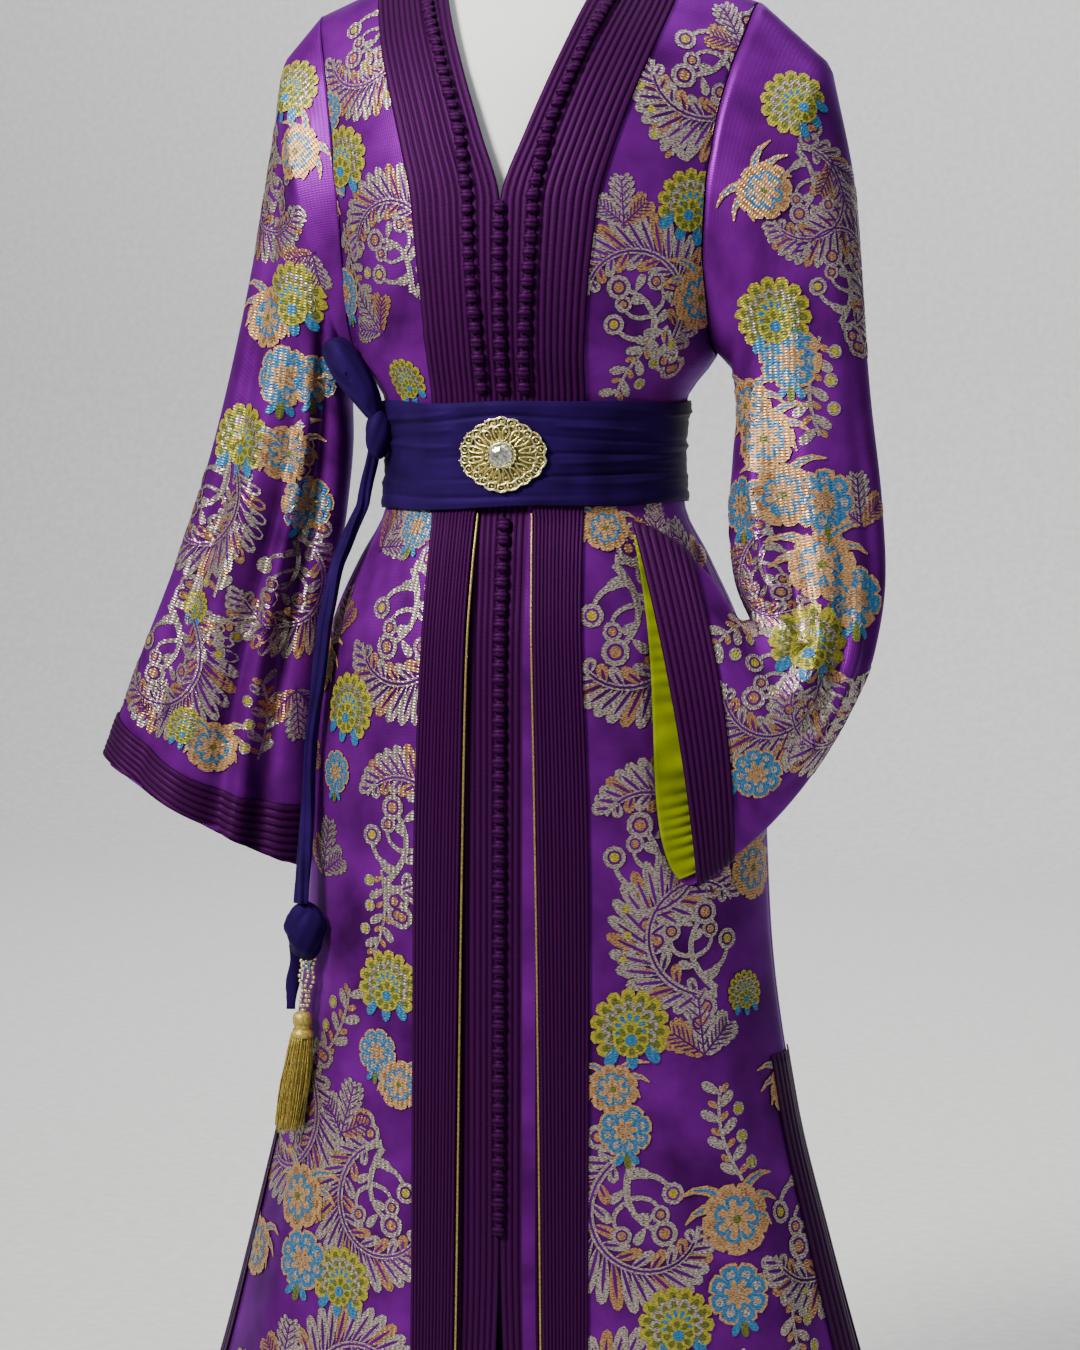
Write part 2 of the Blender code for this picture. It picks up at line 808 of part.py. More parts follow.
def off_body(point, least):
    """The point, moved level and outwards until it is about that far from the cloth."""
    if point.z > UNDERARM:
        return point
    back = seam_back(point.z)
    depth = front_depth(point.z) if point.y < back else back_depth(point.z)
    wide = half_width(point.z) + least
    share = math.hypot(point.x / wide, (point.y - back) / (depth + least))
    if share >= 1:
        return point
    return Vector((point.x / share, (point.y - back) / share + back, point.z))


def sleeve_ring(reader, row, turn):
    """A point of a sleeve section, from its outer edge at 0 round the front, with the inner edge halfway."""
    outer, inner, half, facing, bow = reader(row)
    way = Vector((math.sin(facing), -math.cos(facing), 0))
    share = (1 - math.cos(turn)) / 2
    middle = outer.lerp(inner, share) + way * bow * math.sin(share * math.pi)
    thick = way * half * math.sin(turn)
    shifts = [off_body(layer, SLEEVE_CLEAR) - layer for layer in (middle + thick, middle - thick)]
    return middle + thick + max(shifts, key=lambda shift: shift.length)


def armhole_ring(turn):
    """A point of the armhole's edge, from the shoulder at 0 round the front, with the underarm halfway."""
    drop = (1 - math.cos(turn)) / 2
    station = height_station(UNDERARM + YOKE_RISE * (1 - drop))
    angle = arm_angle(station)
    if turn > math.pi:
        angle = math.pi - angle
    place = cloth(angle, station)
    place.x += ARMHOLE_GAP
    return place


def sleeve_surface(reader, row, turn):
    """A sleeve's outer face. Row 0 is the armhole and row 1 the first section of its table."""
    turn %= 2 * math.pi
    if row >= 1:
        return sleeve_ring(reader, row, turn)
    return armhole_ring(turn).lerp(sleeve_ring(reader, 1.0, turn), row)


def tube_point(reader, row, turn, out=0.0):
    """A point that much outside a sleeve's outer face."""
    place = sleeve_surface(reader, row, turn)
    if out == 0.0:
        return place
    around = sleeve_surface(reader, row, turn + 0.12) - sleeve_surface(reader, row, turn - 0.12)
    low = sleeve_surface(reader, max(row - 0.1, 0.0), turn)
    down = sleeve_surface(reader, row + 0.1, turn) - low
    way = around.cross(down)
    if row == 0:
        way.x = 0.0
    return place + way.normalized() * out


def mirrored(point, side):
    return Vector((point.x * side, point.y, point.z))


def make_sleeve(name, reader, rows, side, end_row):
    """A sleeve through its rows, then on from the last of them to its mouth in equal steps."""
    outer, inner = [], []
    for number in range(len(rows) + MOUTH_STEPS):
        outer_row, inner_row = [], []
        for turn in SLEEVE_TURNS:
            at = rows[min(number, len(rows) - 1)]
            at += (end_row(turn) - at) * max(number - len(rows) + 1, 0) / MOUTH_STEPS
            outer_row.append(mirrored(tube_point(reader, at, turn), side))
            inner_row.append(mirrored(tube_point(reader, at, turn, -WALL), side))
        outer.append(outer_row)
        inner.append(inner_row)
    return walled(name, outer, inner, "brocade", ring=True)


def tucked_end(turn):
    """The mouth of the tucked sleeve: its back layer reaches past the front one, most at the bottom."""
    if turn <= math.pi:
        return TUCKED_MOUTH
    share = (1 - math.cos(turn)) / 2
    return TUCKED_MOUTH + LINING_REACH * (1 - share) * math.sin(turn - math.pi)


def mouth_point(reader, start, end_row, turn, along, out):
    """A point that much outside a sleeve's last rows, read along their facets."""
    step = min(int(along * MOUTH_STEPS), MOUTH_STEPS - 1)
    reach = end_row(turn) - start
    low, high = (
        tube_point(reader, start + reach * (step + k) / MOUTH_STEPS, turn, out)
        for k in (0, 1)
    )
    return low.lerp(high, along * MOUTH_STEPS - step)


def make_cuff(name, reader, start, end_row, side):
    """Ribbed braid laid round a sleeve's mouth."""
    outer, inner = [], []
    for i in range(5):
        top = CUFF_GAP + BAND_THICK + (RIB_RISE if i % 2 else 0.0)
        outer_row, inner_row = [], []
        for turn in SLEEVE_TURNS:
            outer_row.append(mirrored(mouth_point(reader, start, end_row, turn, i / 4, top), side))
            inner_row.append(mirrored(mouth_point(reader, start, end_row, turn, i / 4, CUFF_GAP), side))
        outer.append(outer_row)
        inner.append(inner_row)
    return walled(name, outer, inner, "braid", ring=True)


def make_lining(reader):
    """The lime satin on the inner face of the tucked sleeve's back layer."""
    outer, inner = [], []
    start = TUCKED_MOUTH - CUFF_LEFT_ROWS
    face = -WALL - LINING_GAP
    for i in range(5):
        outer_row, inner_row = [], []
        for turn in SLEEVE_TURNS[10:18]:
            outer_row.append(mouth_point(reader, start, tucked_end, turn, i / 4, face))
            inner_row.append(mouth_point(reader, start, tucked_end, turn, i / 4, face - LINING_THICK))
        outer.append(outer_row)
        inner.append(inner_row)
    return walled("lining_left", outer, inner, "lime")


def sash_base(angle, height):
    """The sash's inner face, drawn tight over the braid in front."""
    x = body_point(angle, height).x
    over = 1 - smooth_step(0.066, 0.096, abs(x)) if math.cos(angle) > 0 else 0.0
    return SASH_EASE + SASH_OVER_BANDS * over


def sash_wrinkle(angle, share):
    """Soft level wrinkles that die out under the buckle."""
    x = body_point(angle, SASH_MIDDLE).x
    near = 1 - smooth_step(0.045, 0.075, abs(x)) if math.cos(angle) > 0 else 0.0
    wave = abs(math.sin(share * math.pi * 3 + 0.5 * math.sin(angle * 2)))
    return 0.0016 * wave * (1 - near)


def make_sash():
    outer, inner = [], []
    for i in range(6):
        share = i / 5
        outer_row, inner_row = [], []
        for number in range(32):
            angle = -math.pi + 2 * math.pi * number / 32
            lift = 0.004 * math.sin(angle) * (1 - share)
            height = SASH_LOW + lift + (SASH_HIGH - SASH_LOW - lift) * share
            base = sash_base(angle, height)
            rise = SASH_THICK + (sash_wrinkle(angle, share) if 0 < i < 5 else -0.0008)
            outer_row.append(cloth(angle, height, base + rise))
            inner_row.append(cloth(angle, height, base))
        outer.append(outer_row)
        inner.append(inner_row)
    return walled("sash", outer, inner, "indigo", ring=True)


def make_loop():
    """The standing loop of the sash's bow, a folded band in front of the hanging sleeve."""
    count = 22
    size = len(LOOP_PATH)
    middle = Vector((sum(p[0] for p in LOOP_PATH) / size, sum(p[1] for p in LOOP_PATH) / size))

    def on_path(t):
        i = int(t) % size
        f = t - int(t)
        p0, p1, p2, p3 = (Vector(LOOP_PATH[(i + k) % size]) for k in (-1, 0, 1, 2))
        return 0.5 * (
            2 * p1 + (p2 - p0) * f + (2 * p0 - 5 * p1 + 4 * p2 - p3) * f * f
            + (3 * p1 - p0 - 3 * p2 + p3) * f ** 3
        )

    rows = []
    for i in range(count):
        t = size * i / count
        here = on_path(t)
        ahead = on_path(t + 0.05)
        tangent = (ahead - here).normalized()
        out = Vector((tangent.y, -tangent.x))
        if out.dot(here - middle) < 0:
            out = -out
        under = here - out * TAIL_THICK
        rows.append([
            Vector((here.x, LOOP_Y - LOOP_HALF, here.y)),
            Vector((here.x, LOOP_Y + LOOP_HALF, here.y)),
            Vector((under.x, LOOP_Y + LOOP_HALF, under.y)),
            Vector((under.x, LOOP_Y - LOOP_HALF, under.y)),
        ])
    points = [point for row in rows for point in row]
    faces = []
    for row in range(count):
        after = (row + 1) % count
        for i in range(4):
            j = (i + 1) % 4
            faces.append((row * 4 + i, row * 4 + j, after * 4 + j, after * 4 + i))
    return solid("sash_loop", points, faces, "indigo")


def lump(name, centre, sizes, colour, ridges=0, rings=8, sides=12):
    """A rounded knot of cloth, with ridges that run round it aslant."""
    points = [centre + Vector((0, 0, sizes[2]))]
    for ring in range(1, rings):
        down = math.pi * ring / rings
        for i in range(sides):
            turn = 2 * math.pi * i / sides
            swell = 1 + (0.10 * math.sin(ridges * turn + 3 * down) if ridges else 0.0)
            points.append(centre + Vector((
                sizes[0] * math.sin(down) * math.cos(turn) * swell,
                sizes[1] * math.sin(down) * math.sin(turn) * swell,
                sizes[2] * math.cos(down),
            )))
    points.append(centre - Vector((0, 0, sizes[2])))
    faces = []
    for i in range(sides):
        j = (i + 1) % sides
        faces.append((0, 1 + i, 1 + j))
        last = 1 + (rings - 2) * sides
        faces.append((len(points) - 1, last + j, last + i))
        for ring in range(rings - 2):
            a = 1 + ring * sides
            faces.append((a + i, a + j, a + sides + j, a + sides + i))
    return solid(name, points, faces, colour)


def tail_point(height, across, out):
    angle = math.radians(tail_angle(height))
    place = body_point(angle, height)
    way = body_normal(angle, height)
    along = way.cross(Vector((0, 0, 1))).normalized()
    return place + way * (tail_out(height) + out) + along * across


def make_tail():
    outer, inner = [], []
    for height in spread(1.026, 0.6304, 15):
        outer_row, inner_row = [], []
        for i in range(5):
            across = TAIL_WIDTH * (i / 4 - 0.5)
            ridge = TAIL_RIDGE if i in (1, 3) else 0.0
            outer_row.append(tail_point(height, across, TAIL_THICK + ridge))
            inner_row.append(tail_point(height, across, 0.0))
        outer.append(outer_row)
        inner.append(inner_row)
    return walled("sash_tail", outer, inner, "indigo")


def tail_axis(height):
    """The middle of what hangs at the end of the tail."""
    angle = math.radians(TAIL_ANGLE)
    place = body_point(angle, height)
    way = body_normal(angle, height)
    return place + Vector((way.x, way.y, 0)).normalized() * TAIL_HANGS_OUT


def turned(name, centre, profile, sides, colour):
    """A solid turned about an upright axis, from a profile of height and radius, top to bottom."""
    rows = []
    for height, radius in profile:
        rows.append([
            Vector((
                centre.x + radius * math.cos(2 * math.pi * i / sides),
                centre.y + radius * math.sin(2 * math.pi * i / sides),
                height,
            ))
            for i in range(sides)
        ])
    return tube(name, rows, colour)


def make_tassel(centre, lean):
    """A gold head with separate strands drawn out of its underside, lying along the skirt."""
    mesh = bpy.data.meshes.new("tassel")
    work = bmesh.new()
    sides = 12

    def ring(height, radius):
        return [
            work.verts.new((
                centre.x + radius * math.cos(2 * math.pi * i / sides),
                centre.y + radius * math.sin(2 * math.pi * i / sides),
                height,
            ))
            for i in range(sides)
        ]

    rings = [ring(height, radius) for height, radius in TASSEL_HEAD]
    for upper, lower in zip(rings, rings[1:]):
        for i in range(sides):
            j = (i + 1) % sides
            work.faces.new((upper[i], upper[j], lower[j], lower[i]))
    work.faces.new(rings[0])
    level = TASSEL_HEAD[-1][0]
    inner_rings = [rings[-1]] + [ring(level, radius) for radius in TASSEL_ROOTS]
    roots = []
    for wide, narrow in zip(inner_rings, inner_rings[1:]):
        for i in range(sides):
            j = (i + 1) % sides
            roots.append(work.faces.new((wide[i], wide[j], narrow[j], narrow[i])))
    work.faces.new(inner_rings[-1])
    bmesh.ops.recalc_face_normals(work, faces=work.faces)
    bmesh.ops.inset_individual(work, faces=roots, thickness=STRAND_GAP)
    made = bmesh.ops.extrude_discrete_faces(work, faces=roots)
    for number, face in enumerate(made["faces"]):
        middle = face.calc_center_median()
        away = Vector((middle.x - centre.x, middle.y - centre.y, 0))
        fall = STRAND_FALL + STRAND_FALL_SPREAD * math.sin(number * 2.4)
        for vert in face.verts:
            vert.co += Vector((away.x * 0.35, away.y * 0.35, -fall)) + lean * fall
    bmesh.ops.recalc_face_normals(work, faces=work.faces)
    work.to_mesh(mesh)
    work.free()
    return add_object("tassel", mesh, "thread")


def buckle_edge(turn):
    """The buckle's outline: a lobed oval with a scalloped edge."""
    wide, high = BUCKLE_HALF
    lobes = 1 + 0.045 * math.cos(4 * turn) + 0.020 * abs(math.sin(9 * turn))
    reach = 1 / math.hypot(math.cos(turn) / wide, math.sin(turn) / high)
    return reach * lobes * math.cos(turn), reach * lobes * math.sin(turn)


def on_sash(x, up, out):
    height = SASH_MIDDLE + up
    angle = angle_at(x, height)
    return cloth(angle, height, SASH_EASE + SASH_OVER_BANDS + SASH_THICK + 2 * GAP + out)


def make_buckle():
    """A filigree plate that follows the sash, raised in rings of bosses round a seat for the stone."""
    sides = 30
    points, faces = [], []
    for share, rise in BUCKLE_RINGS:
        for i in range(sides):
            turn = 2 * math.pi * i / sides
            x, up = buckle_edge(turn)
            boss = rise + (0.0010 * math.cos(9 * turn) if share in BUCKLE_BOSSED else 0.0)
            points.append(on_sash(x * share, up * share, boss))
    for ring in range(len(BUCKLE_RINGS) - 1):
        for i in range(sides):
            j = (i + 1) % sides
            a = ring * sides
            faces.append((a + i, a + j, a + sides + j, a + sides + i))
    top = len(points)
    points.append(on_sash(0, 0, BUCKLE_RINGS[-1][1]))
    inner = (len(BUCKLE_RINGS) - 1) * sides
    faces += [(inner + i, inner + (i + 1) % sides, top) for i in range(sides)]
    foot = len(points)
    for i in range(sides):
        x, up = buckle_edge(2 * math.pi * i / sides)
        points.append(on_sash(x, up, 0.0))
    for i in range(sides):
        j = (i + 1) % sides
        faces.append((i, j, foot + j, foot + i))
    middle_ring = len(points)
    for i in range(sides):
        x, up = buckle_edge(2 * math.pi * i / sides)
        points.append(on_sash(x * 0.5, up * 0.5, 0.0))
    for i in range(sides):
        j = (i + 1) % sides
        faces.append((foot + i, foot + j, middle_ring + j, middle_ring + i))
    bottom = len(points)
    points.append(on_sash(0, 0, 0.0))
    faces += [(middle_ring + i, middle_ring + (i + 1) % sides, bottom) for i in range(sides)]
    return solid("buckle_plate", points, faces, "gold")


def make_stone():
    """A faceted crystal on the buckle's seat."""
    sides = 12
    turns = spread(0, 2 * math.pi, sides + 1)[:-1]
    rows = [
        [on_sash(radius * math.cos(turn), radius * math.sin(turn), out) for turn in turns]
        for radius, out in STONE
    ]
    return tube("buckle_stone", rows, "crystal")


def form_point(angle, station):
    """The dress form under the cloth. It carries the cloth along the shoulder ridge."""
    height = station_height(station)
    wide = arm_edge(height) - 0.006
    ease = WALL + 0.004
    depth = (front_depth(height) if math.cos(angle) > 0 else back_depth(height)) - ease
    depth = min(depth, 0.120) * round_over(station)
    x = wide * math.sin(angle)
    y = seam_back(height) - depth * math.cos(angle)
    rise = (height - UNDERARM) / YOKE_RISE
    drop = WALL + 3 * GAP + 0.004 * min(1.0, 4 * (1 - rise))
    z = UNDERARM + (shoulder_line(x) - UNDERARM) * rise - drop * rise
    return Vector((x, y, z))


def make_form():
    turns = spread(0, 2 * math.pi, FORM_SIDES + 1)[:-1]
    wide = smooth_column(FORM_HIPS, 1)
    fore = smooth_column(FORM_HIPS, 2)
    aft = smooth_column(FORM_HIPS, 3)
    rows = []
    for height in spread(FORM_BOTTOM, FORM_TOP_ROW, 8):
        rows.append([
            Vector((
                wide(height) * math.sin(turn),
                seam_back(height) - (fore(height) if math.cos(turn) > 0 else aft(height)) * math.cos(turn),
                height,
            ))
            for turn in turns
        ])
    for station in STATIONS[-7:]:
        rows.append([form_point(turn, station) for turn in turns])
    size = FORM_SIDES
    points = [point for row in rows for point in row]
    faces = []
    for row in range(len(rows) - 1):
        for i in range(size):
            j = (i + 1) % size
            faces.append((row * size + i, row * size + j, (row + 1) * size + j, (row + 1) * size + i))
    faces.append(tuple(range(size)))
    torso = solid("form_torso", points, faces, "linen")
    rings = []
    for height, x_reach, y_reach in FORM_NECK:
        rings.append([
            Vector((x_reach * math.sin(turn), FORM_NECK_Y - y_reach * math.cos(turn), height))
            for turn in turns
        ])
    neck = tube("neck_cutter", rings, "linen")
    neck.hide_render = True
    neck.display_type = "WIRE"
    join = torso.modifiers.new("neck", "BOOLEAN")
    join.operation = "UNION"
    join.solver = "EXACT"
    join.object = neck
    return torso


def make_stand():
    origin = Vector((0, 0, 0))
    turned("stand_base", origin, (
        (BASE_THICK + 0.012, POLE_RADIUS + 0.004),
        (BASE_THICK + 0.010, POLE_RADIUS + 0.010),
        (BASE_THICK, POLE_RADIUS + 0.016),
        (BASE_THICK - 0.003, BASE_RADIUS - 0.008),
        (BASE_THICK - 0.007, BASE_RADIUS),
        (0.0, BASE_RADIUS),
    ), 24, "steel")
    turned("stand_pole", origin, (
        (FORM_BOTTOM - GAP, POLE_RADIUS + 0.010),
        (FORM_BOTTOM - 0.012, POLE_RADIUS + 0.010),
        (FORM_BOTTOM - 0.012, POLE_RADIUS),
        (BASE_THICK + 0.012 + GAP, POLE_RADIUS),
    ), 12, "steel")
    turned("form_neck_cap", Vector((0, FORM_NECK_Y, 0)), (
        (1.582, 0.004),
        (1.579, 0.012),
        (1.570, 0.015),
        (1.562, 0.010),
        (1.558, 0.046),
        (1.552, 0.053),
        (1.545 + GAP, 0.053),
    ), 16, "steel")


def main():
    for old in list(bpy.data.objects):
        bpy.data.objects.remove(old)
    for side in (-1, 1):
        make_front(side)
        make_band(side)
        make_placket(side)
        make_piping(side)
        make_front_knots(side)
        make_slit_band(side, True)
        make_slit_band(side, False)
    make_back()
    make_neck_band()
    make_neck_knots()
    make_middle_knots()
    make_lower_knots()

    hanging = section_reader(HANGING)
    tucked = section_reader(TUCKED)
    hanging_rows = [0.0, 0.5, 1.0, 1.6, 2.3, 3.0, 3.7, 4.4, 5.0, 5.6, 6.1]
    hanging_rows.append(HANGING_MOUTH - CUFF_RIGHT_ROWS)
    tucked_rows = [0.0, 0.5, 1.0, 2.0, 3.0, 4.0, 4.8, 5.5, 6.2, 6.9, 7.6, 8.4, 9.2, 10.0]
    tucked_rows.append(TUCKED_MOUTH - CUFF_LEFT_ROWS)
    make_sleeve("sleeve_right", hanging, hanging_rows, -1, lambda turn: HANGING_MOUTH)
    make_sleeve("sleeve_left", tucked, tucked_rows, 1, tucked_end)
    make_cuff("cuff_right", hanging, HANGING_MOUTH - CUFF_RIGHT_ROWS, lambda turn: HANGING_MOUTH, -1)
    make_cuff("cuff_left", tucked, TUCKED_MOUTH - CUFF_LEFT_ROWS, tucked_end, 1)
    make_lining(tucked)

    make_sash()
    make_loop()
    make_tail()
    knot_middle = tail_axis(0.603)
    lump("tail_knot", knot_middle, (0.019, 0.012, 0.027), "indigo", ridges=3)
    cord_middle = tail_axis(0.55)
    turned("tassel_cord", cord_middle, (
        (0.5755, 0.0085),
        (0.560, 0.0100),
        (0.545, 0.0085),
        (0.5303, 0.0045),
    ), 10, "thread")
    lean = (tail_axis(0.42) - tail_axis(0.53)) / 0.11
    make_tassel(cord_middle, Vector((lean.x, lean.y, 0)))
    make_buckle()
    make_stone()
    make_form()
    make_stand()


main()
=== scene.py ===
# A brocade kaftan with braided bands, knotted buttons and a buckled sash, on a limbless dress form
# Metres, +Z up. The front faces -Y and the wearer's left is +X

import math
import random

import bmesh
import bpy
import numpy as np
from mathutils import Matrix, Vector


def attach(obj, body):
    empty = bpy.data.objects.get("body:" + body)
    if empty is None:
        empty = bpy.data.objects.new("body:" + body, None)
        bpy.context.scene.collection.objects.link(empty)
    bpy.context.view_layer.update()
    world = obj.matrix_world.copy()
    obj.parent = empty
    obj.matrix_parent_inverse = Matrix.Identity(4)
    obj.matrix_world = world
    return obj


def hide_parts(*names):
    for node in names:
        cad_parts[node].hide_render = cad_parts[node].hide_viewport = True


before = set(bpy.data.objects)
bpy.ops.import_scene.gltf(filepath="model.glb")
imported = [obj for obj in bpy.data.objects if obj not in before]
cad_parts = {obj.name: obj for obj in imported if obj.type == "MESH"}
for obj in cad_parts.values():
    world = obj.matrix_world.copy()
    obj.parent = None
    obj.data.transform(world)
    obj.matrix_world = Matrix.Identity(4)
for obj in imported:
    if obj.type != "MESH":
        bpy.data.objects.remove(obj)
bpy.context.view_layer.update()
dice = random.Random(11)
print("frame loaded:", len(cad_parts), "nodes")

# the cut of the body, as the solids have it
body = {
    "hem": 0.008,
    "underarm": 1.12,
    "yokeRise": 0.355,
    "shoulderSlope": 0.385,
    "neckHalf": 0.07,
    "roundness": 0.6,
    # height, half width, front depth, back depth, how far back the side seam lies
    "sections": [
        (0.008, 0.345, 0.186, 0.262, 0.020), (0.120, 0.318, 0.162, 0.245, 0.018),
        (0.225, 0.289, 0.143, 0.225, 0.015), (0.330, 0.262, 0.138, 0.205, 0.012),
        (0.450, 0.234, 0.134, 0.185, 0.009), (0.600, 0.214, 0.130, 0.168, 0.006),
        (0.750, 0.207, 0.126, 0.158, 0.003), (0.870, 0.188, 0.121, 0.146, 0.000),
        (0.940, 0.158, 0.111, 0.124, 0.000), (0.985, 0.136, 0.102, 0.106, 0.000),
        (1.030, 0.132, 0.099, 0.099, 0.000), (1.078, 0.137, 0.102, 0.100, 0.001),
        (1.120, 0.165, 0.114, 0.106, 0.004), (1.200, 0.184, 0.126, 0.112, 0.008),
        (1.280, 0.200, 0.130, 0.118, 0.012), (1.345, 0.212, 0.128, 0.122, 0.015),
        (1.400, 0.222, 0.122, 0.122, 0.018), (1.440, 0.230, 0.112, 0.116, 0.020),
        (1.475, 0.237, 0.108, 0.112, 0.020),
    ],
    # height, armhole edge from the middle
    "armhole": [
        (1.120, 0.1650), (1.200, 0.1630), (1.280, 0.1660), (1.345, 0.1740), (1.400, 0.1840), (1.440, 0.1930),
        (1.475, 0.2000),
    ],
    # angle, half width in degrees, depth at the hem, height where it dies out
    "folds": [
        (-148, 11, 0.012, 0.98), (-118, 12, 0.014, 0.94), (-86, 9, 0.010, 0.80), (-52, 8, 0.008, 0.86),
        (36, 7, 0.007, 0.78), (58, 9, 0.010, 0.90), (88, 9, 0.012, 0.80), (122, 12, 0.014, 0.95),
        (152, 11, 0.012, 0.98), (180, 10, 0.010, 0.96), (-180, 10, 0.010, 0.96),
    ],
    # soft creases: angle, station, half length, half width, lean in degrees from upright, depth
    "creases": [
        (-42, 1.135, 0.060, 0.006, 52, -0.0022), (-60, 1.120, 0.070, 0.007, 30, 0.0024),
        (-30, 1.125, 0.045, 0.005, 62, 0.0014), (-72, 1.190, 0.080, 0.008, 18, -0.0022),
        (44, 1.140, 0.065, 0.006, -50, -0.0022), (58, 1.118, 0.060, 0.007, -32, 0.0024),
        (33, 1.128, 0.040, 0.005, -60, 0.0014), (70, 1.200, 0.090, 0.008, -16, -0.0022),
        (-50, 1.330, 0.070, 0.010, 24, 0.0018), (52, 1.340, 0.080, 0.010, -20, 0.0018),
        (-50, 0.925, 0.070, 0.006, -20, 0.0022), (-66, 0.905, 0.095, 0.007, -10, -0.0024),
        (-38, 0.930, 0.050, 0.005, -26, -0.0016), (48, 0.920, 0.080, 0.006, 22, 0.0022),
        (64, 0.900, 0.095, 0.007, 12, -0.0024), (80, 0.910, 0.080, 0.007, 6, 0.0022),
        (-80, 0.915, 0.080, 0.007, -6, 0.0022), (-40, 0.620, 0.160, 0.012, 4, 0.0022),
        (-58, 0.480, 0.200, 0.014, 5, -0.0026), (44, 0.600, 0.180, 0.012, -4, 0.0024),
        (66, 0.430, 0.200, 0.014, -5, -0.0028), (150, 1.140, 0.070, 0.007, 40, 0.0022),
        (-150, 1.140, 0.070, 0.007, -40, 0.0022), (170, 1.150, 0.060, 0.006, 12, -0.0018),
        (-168, 1.130, 0.060, 0.006, -14, 0.0018), (132, 0.920, 0.080, 0.007, -24, 0.0024),
        (-132, 0.920, 0.080, 0.007, 24, 0.0024), (160, 0.910, 0.090, 0.007, -8, -0.0024),
        (-158, 0.905, 0.090, 0.007, 8, -0.0022), (140, 0.560, 0.200, 0.014, -4, 0.0028),
        (-142, 0.540, 0.210, 0.014, 4, 0.0028), (128, 1.330, 0.080, 0.010, 22, -0.0020),
        (-130, 1.320, 0.080, 0.010, -22, -0.0020),
    ],
}
body["ridge"] = body["underarm"] + body["yokeRise"] * math.pi / 2

# the braid down the fronts: height, outer edge, inner edge from the middle
braid = {
    "edges": [
        (0.008, 0.0840, 0.0450), (0.225, 0.0810, 0.0410), (0.665, 0.0790, 0.0350), (0.980, 0.0680, 0.0260),
        (1.010, 0.0675, 0.0120), (1.050, 0.0680, 0.0002), (1.080, 0.0685, 0.0002), (1.250, 0.0830, 0.0002),
        (1.2595, 0.0845, 0.0018), (1.305, 0.0960, 0.0183), (1.440, 0.1330, 0.0675), (1.475, 0.1400, 0.0780),
    ],
    "lift": 0.0004,
    "thick": 0.0018,
    "ribRise": 0.0009,
    "ribs": 13,
    "ribPitch": 0.0042,
    "neckInner": (0.078, 0.415),
    "neckOuter": (0.140, 0.730),
    "slitTop": 0.50,
    "slitWidth": 0.030,
    "slitDraw": 0.007,
    "placketReach": 0.064,
    "placketTop": 1.03,
    "placketSplit": 0.347,
    "placketOpen": 0.012,
    "stripFrom": 0.32,
    "stripTo": 0.51,
}


def smoothColumn(rows, column):
    # a smooth curve through one column of a table, with no overshoot
    xs = np.array([row[0] for row in rows], dtype=float)
    ys = np.array([row[column] for row in rows], dtype=float)
    steps = np.diff(ys) / np.diff(xs)
    slopes = np.concatenate([[steps[0]], np.zeros(len(xs) - 2), [steps[-1]]])
    same = steps[:-1] * steps[1:] > 0
    slopes[1:-1][same] = (2 * steps[:-1] * steps[1:])[same] / (steps[:-1] + steps[1:])[same]

    def read(x):
        x = np.clip(np.asarray(x, dtype=float), xs[0], xs[-1])
        i = np.clip(np.searchsorted(xs, x, side="right") - 1, 0, len(steps) - 1)
        width = xs[i + 1] - xs[i]
        t = (x - xs[i]) / width
        return (
            ys[i] * (1 + 2 * t) * (1 - t) ** 2
            + slopes[i] * width * t * (1 - t) ** 2
            + ys[i + 1] * t * t * (3 - 2 * t)
            - slopes[i + 1] * width * t * t * (1 - t)
        )

    return read


halfWidth = smoothColumn(body["sections"], 1)
frontDepth = smoothColumn(body["sections"], 2)
backDepth = smoothColumn(body["sections"], 3)
seamBack = smoothColumn(body["sections"], 4)
armEdge = smoothColumn(body["armhole"], 1)
bandOuter = smoothColumn(braid["edges"], 1)
bandInner = smoothColumn(braid["edges"], 2)


def sided(word, side):
    return f"{word}_{'right' if side < 0 else 'left'}"


def fullTurn(count):
    return np.linspace(0, 2 * math.pi, count, endpoint=False)


def runningLength(steps):
    # how far along a line each of its points lies
    return np.concatenate([[0], np.cumsum(steps)])


def smoothStep(low, high, value):
    t = np.clip((np.asarray(value, dtype=float) - low) / (high - low), 0, 1)
    return t * t * (3 - 2 * t)


def stationHeight(station):
    # a station is a height up to the underarm, and runs on over the shoulder from there
    turn = np.clip((np.asarray(station, dtype=float) - body["underarm"]) / body["yokeRise"], 0, math.pi / 2)
    return np.where(turn > 0, body["underarm"] + body["yokeRise"] * np.sin(turn), station)


def heightStation(height):
    share = np.clip((np.asarray(height, dtype=float) - body["underarm"]) / body["yokeRise"], 0, 1)
    return np.where(share > 0, body["underarm"] + body["yokeRise"] * np.arcsin(share), height)


def roundOver(station):
    turn = np.clip((station - body["underarm"]) / body["yokeRise"], 0, math.pi / 2)
    return np.clip(np.cos(turn), 0, 1) ** body["roundness"]


def shoulderLine(x):
    beyondNeck = np.clip(np.abs(x) - body["neckHalf"], 0, 9)
    return body["underarm"] + body["yokeRise"] - body["shoulderSlope"] * beyondNeck


def foldDepth(angle, height):
    turn = np.degrees(angle)
    total = np.zeros(np.broadcast(turn, height).shape)
    for middle, spread, depth, top in body["folds"]:
        along = np.clip(1 - (height - body["hem"]) / (top - body["hem"]), 0, None)
        total = total + depth * along ** 1.3 * np.exp(-(((turn - middle) / spread) ** 2))
    return total


